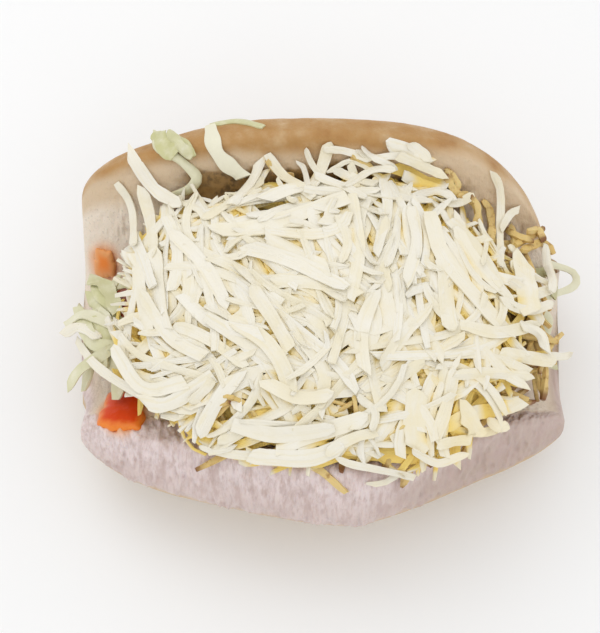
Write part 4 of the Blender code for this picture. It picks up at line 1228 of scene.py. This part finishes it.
def make_potato(settings):
    """Straw potatoes: square-edged sticks, strewn over a low core, laid where they show, and short ones
    in the golden gaps of the cheese."""
    core = lowered(POTATO_CORE, POTATO_DROP, POTATO_SHARE)
    rings = core_rings(core, 50, 160, 0.9)
    cover_with(core)
    straws = Shreds(9, 12, settings.straw_thickness / MM, 0.15)
    straws.strew(POTATO_CORE, settings.straw_count, (1.5, 2.5), (14, 34), 0.012, 1.2, -1.0)
    for width, *pixels in POTATO_STRAWS:
        straws.lay_through(pixels, width)
    cheese, draw = lowered(CHEESE_CORE, CHEESE_DROP, CHEESE_SHARE), straws.draw
    cover_with(cheese, dark_gaps())
    for x, y, wide, tall in HeightMap(heap_heights(cheese)).places(WINDOWS):
        if core_top(cheese, x, y)[1] < 0.95:
            count = 1 + int(wide * tall / 3)
            spots = np.array([[x, y]]) + draw.normal(0, 0.4, (count, 2)) * (wide, tall)
            lengths = draw.uniform(1.6, 2.6, count) * max(wide, tall)
            for path in wandering_paths(spots, draw.uniform(0, math.pi, count), lengths,
                                        draw.normal(0, 0.002, (count, 2)), straws.stations):
                straws.lay(path, draw.uniform(1.2, 1.8))
    points = straws.points(band_profile(6, 0.6, 0.0), (0.5, 0.95), (0.1, 0.3), 0.1, 0.4, 0.4, 0.0, 0.3)
    points += 0.12 * noise(points, 1.5, 41)[..., None]
    length = np.linspace(-1, 1, straws.stations)[None, :]
    burnt = draw.uniform(0.55, 1.25, (len(points), 2))
    brown_and_shade = smoothstep((np.abs(length) - np.where(length < 0, burnt[:, :1], burnt[:, 1:])) / 0.3)
    marks = {"brown_and_shade": brown_and_shade[:, :, None] * np.ones(points.shape[:3]),
             "tone": draw.uniform(0, 1, (len(points), 1, 1)) * np.ones(points.shape[:3])}
    # The core under the straws gets most of the browned tips' colour, as painted shade between the straws
    return gathered("straw_potato_bed", [(points, marks), (rings[None], {"brown_and_shade": 0.6, "tone": 0.5})])


def potato_finish(settings):
    """Fried potato: golden, mottled, browned at the tips, and dark on the core beneath as painted shade
    between the straws.
    """
    made = Finish("fried_potato", Roughness=0.48, Subsurface_Weight=0.15, Subsurface_Scale=0.0015,
                  Subsurface_Radius=(1.0, 0.6, 0.25))
    place = made.place()
    mottle = made.noise(place, 420.0, 4.0)
    paler = shaded(settings.straw, 1.1, 1.2, 1.5)
    fried = made.blend(made.mark("tone"), settings.straw, paler)
    darker = shaded(settings.straw, 0.62, 0.5, 0.4)
    fried = made.blend(made.between(mottle, 0.52, 0.72), fried, darker)
    made.colour(made.blend(made.mark("brown_and_shade"), fried, settings.straw_tip))
    made.bump(made.noise(place, 1500.0, 3.0), 0.0003, 0.6)
    return made.material


def make_cheese(settings):
    """Grated cheese: ribbons in four pieces, over a low core, with the ones read from the picture on
    top. Each vertex is marked by how deep it lies under the heap's crest and by its ribbon's tone."""
    core = lowered(CHEESE_CORE, CHEESE_DROP, CHEESE_SHARE)
    rings = core_rings(core, 60, 220, 0.9)
    dark = dark_gaps()
    dent = nearness(rings[..., 0], rings[..., 1], dark)
    rings[..., 2] -= DENT * dent
    seen = HeightMap(np.maximum(PILE.height, heap_heights(CHEESE_CORE) - AIM_DROP))
    windows = np.concatenate([dark, seen.places(WINDOWS)])
    shreds = Shreds(14, 13, settings.cheese_thickness / MM, 0.3)
    ends = []
    for room, widths, spread in CHEESE_LAYERS:
        keep_open = windows if ends else dark
        shreds.strew(CHEESE_CORE, settings.cheese_count // len(CHEESE_LAYERS), widths, CHEESE_LENGTHS,
                     CHEESE_BEND, spread, room, keep_open)
        ends.append(len(shreds.laid))
    for width, *pixels in CHEESE_SHREDS:
        shreds.lay_through(pixels, READ_WIDTH * width)
    profile = ribbon_profile(3, 0.5)
    points = shreds.points(profile, (0.45, 1.0), (0.03, 0.2), 0.06, 0.24, 0.8, 0.07, 0.8)
    points += 0.09 * np.stack([noise(points, 1.5, 51 + k) for k in range(3)], axis=-1)
    points[..., 2] = TOP_LIMIT - softly(TOP_LIMIT - points[..., 2])
    cells = PILE.cells(points[..., 0], points[..., 1])
    # Painted shade: how far a point lies under the heap's crest sets how golden its colour is made
    deep = np.clip((PILE.crest()[cells] - points[..., 2]) / CREST_DEPTH, 0, 1)
    # More painted shade: shreds are made more golden towards the right, and more so at the near right
    right = smoothstep((points[..., 0] - 12.0) / 30.0)
    near = smoothstep((-28.0 - points[..., 1]) / 14.0)
    deep = np.clip(deep + 0.12 * right + 0.1 * right * near, 0, 1)
    tone = shreds.draw.uniform(0, 1, (len(points), 1, 1)) * np.ones(points.shape[:3])
    across = profile[0] * np.ones(points.shape[:3])

    # The core is painted fully golden shade, and dark brown at the dents of the dark gaps, for the shade and
    # filling there
    core_marks = {"deep": 1 + dent, "tone": 0.5 + 0.5 * noise(rings, 3.0, 55),
                  "across": noise(rings, 1.2, 56)}
    pieces = []
    names = ("cheese_under", "cheese_middle", "cheese_over", "cheese_top")
    for name, first, last in zip(names, [0, *ends], [*ends, len(points)]):
        marks = {"deep": deep[first:last], "tone": tone[first:last], "across": across[first:last]}
        groups = [(points[first:last], marks)]
        if first == 0:
            groups.append((rings[None], core_marks))
        pieces.append(gathered(name, groups))
    return pieces


def cheese_finish(settings):
    """Waxy white cheese: ivory on top, painted golden shade down in the heap, painted shade with brown
    filling at the dark gaps, and faint streaks along the ribbons.
    """
    made = Finish("waxy_cheese", Roughness=0.38)
    place = made.place()
    cloud = made.noise(place, 150.0, 4.0)
    fine = made.noise(place, 900.0, 3.0)
    tone = made.mark("tone")
    spot = made.node("ShaderNodeCombineXYZ", X=made.times(made.mark("across"), 1.6),
                     Y=made.times(tone, 60.0), Z=made.times(cloud, 1.5))
    streak = made.noise(spot.outputs["Vector"], 1.6, 3.0)
    cream = shaded(settings.cheese_white, 0.97, 0.92, 0.76)
    pale = made.blend(made.times(tone, made.between(cloud, 0.2, 0.7)), settings.cheese_white, cream)
    pale = made.blend(made.times(made.between(streak, 0.48, 0.72), 0.7), pale, cream)
    # Painted shade: golden with depth under the crest
    golden = made.blend(made.between(made.mark("deep"), 0.06, 0.62), pale, settings.cheese_golden_shade)
    # Dark brown at the gaps' dents: painted shade with brown filling
    made.colour(made.blend(made.between(made.mark("deep"), 1.1, 1.6), golden, settings.gap_brown_and_shade))
    made.bump(made.plus(made.times(fine, 0.4), streak), 0.0005, 0.6)
    return made.material


def make_sauce(name, sauce):
    """A pool: a patch of the bun's surface, raised by height * sqrt(1 - out^4) and closed underneath."""
    along, round_it = sauce["place"]
    reach_along, reach_round = sauce["reach"]
    angle = np.arange(SAUCE_ROUNDS)[None, :] * 2 * math.pi / SAUCE_ROUNDS
    away = np.linspace(0, 1, SAUCE_RINGS + 1)[1:, None]
    wobble = 1 + 0.08 * np.sin(3 * angle + 0.8) + 0.05 * np.sin(5 * angle) + 0.03 * np.sin(11 * angle)
    square = np.abs(np.cos(angle)) ** SAUCE_POWER + np.abs(np.sin(angle)) ** SAUCE_POWER
    square = square ** (-1 / SAUCE_POWER)
    share = along + reach_along * away * np.cos(angle) * wobble * square
    turns = round_it + reach_round * away * np.sin(angle) * wobble * square
    thick = sauce["height"] * np.sqrt(np.clip(1 - away ** 4, 0, 1)) + 0.0 * angle
    flat = bun_surface(share, turns)
    thick = thick + 0.15 * noise(flat, 5.0, 61) * (1 - away ** 2)
    top = bun_surface(share, turns, GAP + thick)
    under = bun_surface(share, turns, -SAUCE_SINK)
    rings = np.concatenate([top, under[::-1]])
    edge = np.concatenate([np.broadcast_to(away, share.shape), np.ones(share.shape)])
    PILE.raise_to(top[..., 0], top[..., 1], top[..., 2])
    return make_mesh(name, rings.reshape(-1, 3), tube_faces(rings), {"edge": edge})


def sauce_finish(name, middle, rim_colour, low, high):
    """Wet tomato sauce, thinner and more orange towards its edge."""
    made = Finish(name, Roughness=0.28, Subsurface_Weight=0.05, Subsurface_Scale=0.001,
                  Specular_IOR_Level=0.22, Coat_Weight=0.06, Coat_Roughness=0.1)
    place = made.place()
    pulp = made.noise(place, 500.0, 4.0)
    rim = made.between(made.plus(made.mark("edge"), made.times(pulp, 0.3)), low, high)
    made.colour(made.blend(rim, middle, rim_colour))
    made.bump(pulp, 0.0004, 0.4)
    return made.material


def aimed(place, way):
    """The matrix of a light or camera at a place that looks this way."""
    return Matrix.Translation(place) @ Vector(way).to_track_quat("-Z", "Y").to_matrix().to_4x4()


def area_light(name, place, size, power, tint):
    light = bpy.data.lights.new(name, "AREA")
    light.shape, light.size, light.energy, light.color = "DISK", size, power, tint
    linked(name, light).matrix_world = aimed(place, Vector(LIGHT_TARGET) - Vector(place))


def make_stage():
    """A pale floor, a bright even sky, two large soft lights and the camera."""
    steps = np.linspace(-1.6, 1.6, 9)
    x, y = np.meshgrid(steps, steps, indexing="ij")
    index = np.arange(81).reshape(9, 9)
    quads = np.stack([index[:-1, :-1], index[1:, :-1], index[1:, 1:], index[:-1, 1:]], -1).reshape(-1, 4)
    floor = make_mesh("floor", np.stack([x, y, 0 * x], -1).reshape(-1, 3) / MM, [quads])
    made = Finish("pale_floor", Roughness=0.8)
    tone = made.noise(made.place(), 9.0, 2.0)
    made.colour(made.blend(tone, (0.92, 0.925, 0.93), (0.94, 0.945, 0.95)))
    floor.data.materials.append(made.material)
    floor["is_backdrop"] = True

    sky = bpy.data.worlds.new("even_sky")
    sky.use_nodes = True
    background = sky.node_tree.nodes["Background"]
    background.inputs["Color"].default_value = (1.0, 1.0, 1.0, 1.0)
    background.inputs["Strength"].default_value = SKY_STRENGTH
    bpy.context.scene.world = sky
    bpy.context.scene.view_settings.view_transform = "Standard"
    area_light("soft_key", (-0.25, 0.30, 0.75), 0.6, 0.9, (1.0, 0.98, 0.95))
    area_light("near_fill", (0.35, -0.6, 0.6), 0.7, 0.3, (1.0, 1.0, 1.0))

    camera = bpy.data.cameras.new("eye")
    camera.lens = FOCAL_PIXELS / FRAME_LONG_SIDE * SENSOR
    camera.sensor_width = SENSOR
    camera.clip_start, camera.clip_end = 0.01, 10.0
    holder = linked("eye", camera)
    eye, direction = sight_line(FRAME_MIDDLE)
    holder.matrix_world = aimed(Vector(eye * MM), direction)
    bpy.context.scene.camera = holder


class HOTDOG_OT_bun(bpy.types.Operator):
    """Make the soft bun, laid open on its hinge"""

    bl_idname = "hot_dog.bun"
    bl_label = "Soft bun"

    def execute(self, context):
        settings = context.scene.hot_dog.bun
        finish_slot(make_bun(settings), bun_finish(settings), "bun", "bun")
        return {"FINISHED"}


class HOTDOG_OT_sausage(bpy.types.Operator):
    """Make the sausage in the crease of the bun"""

    bl_idname = "hot_dog.sausage"
    bl_label = "Sausage"

    def execute(self, context):
        settings = context.scene.hot_dog.filling
        finish_slot(make_sausage(), sausage_finish(settings), "sausage", "sausage")
        return {"FINISHED"}


class HOTDOG_OT_sauce(bpy.types.Operator):
    """Make the two pools of tomato sauce"""

    bl_idname = "hot_dog.sauce"
    bl_label = "Tomato sauce"

    def execute(self, context):
        settings = context.scene.hot_dog
        sauce, edge, soaked = settings.filling.sauce, settings.filling.sauce_edge, settings.bun.soaked
        front = make_sauce("sauce_pool", FRONT_SAUCE)
        back = make_sauce("sauce_stain", BACK_SAUCE)
        finish_slot(front, sauce_finish("wet_sauce", sauce, edge, 0.75, 1.15), "sauce", "ketchup_front")
        finish_slot(back, sauce_finish("thin_sauce", edge, soaked, 0.3, 1.0), "sauce", "ketchup_back")
        return {"FINISHED"}


class HOTDOG_OT_cabbage(bpy.types.Operator):
    """Lay the cabbage shreds"""

    bl_idname = "hot_dog.cabbage"
    bl_label = "Cabbage shreds"

    def execute(self, context):
        settings = context.scene.hot_dog.filling
        finish_slot(make_cabbage(settings), cabbage_finish(settings), "cabbage", "cabbage_shreds")
        return {"FINISHED"}


class HOTDOG_OT_potato(bpy.types.Operator):
    """Lay the straw potatoes"""

    bl_idname = "hot_dog.potato"
    bl_label = "Straw potatoes"

    def execute(self, context):
        settings = context.scene.hot_dog.filling
        finish_slot(make_potato(settings), potato_finish(settings), "potato", "potato_straws")
        return {"FINISHED"}


class HOTDOG_OT_cheese(bpy.types.Operator):
    """Heap up the grated cheese"""

    bl_idname = "hot_dog.cheese"
    bl_label = "Grated cheese"

    def execute(self, context):
        settings = context.scene.hot_dog.filling
        finish = cheese_finish(settings)
        for piece in make_cheese(settings):
            finish_slot(piece, finish, "cheese", "grated_cheese")
        return {"FINISHED"}


class HOTDOG_OT_stage(bpy.types.Operator):
    """Set the floor, the light and the camera"""

    bl_idname = "hot_dog.stage"
    bl_label = "Stage"

    def execute(self, context):
        make_stage()
        return {"FINISHED"}


STEPS = (HOTDOG_OT_bun, HOTDOG_OT_sausage, HOTDOG_OT_sauce, HOTDOG_OT_cabbage, HOTDOG_OT_potato,
         HOTDOG_OT_cheese, HOTDOG_OT_stage)


class HOTDOG_PT_panel(bpy.types.Panel):
    """Lists the pieces and their settings"""

    bl_idname = "HOTDOG_PT_panel"
    bl_label = "Hot dog"
    bl_space_type = "VIEW_3D"
    bl_region_type = "UI"
    bl_category = "Hot dog"

    def draw(self, context):
        settings = context.scene.hot_dog
        for group in (settings.bun, settings.filling):
            box = self.layout.box()
            for name in group.__annotations__:
                box.prop(group, name)
        for step in STEPS:
            self.layout.operator(step.bl_idname)


CLASSES = (HotDogBun, HotDogFilling, HotDogSettings, *STEPS, HOTDOG_PT_panel)


def register():
    for made in CLASSES:
        bpy.utils.register_class(made)
    bpy.types.Scene.hot_dog = bpy.props.PointerProperty(type=HotDogSettings)


def unregister():
    del bpy.types.Scene.hot_dog
    for made in reversed(CLASSES):
        bpy.utils.unregister_class(made)


def corners():
    """The shown object's lowest and highest corner, as plain lists."""
    return [list(corner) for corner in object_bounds()]


def main():
    register()
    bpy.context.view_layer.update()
    bpy.ops.hot_dog.bun()
    bpy.ops.hot_dog.sausage()
    bpy.ops.hot_dog.sauce()
    bpy.ops.hot_dog.cabbage()
    bpy.ops.hot_dog.potato()
    bpy.ops.hot_dog.cheese()
    bpy.ops.hot_dog.stage()


if __name__ == "__main__":
    main()
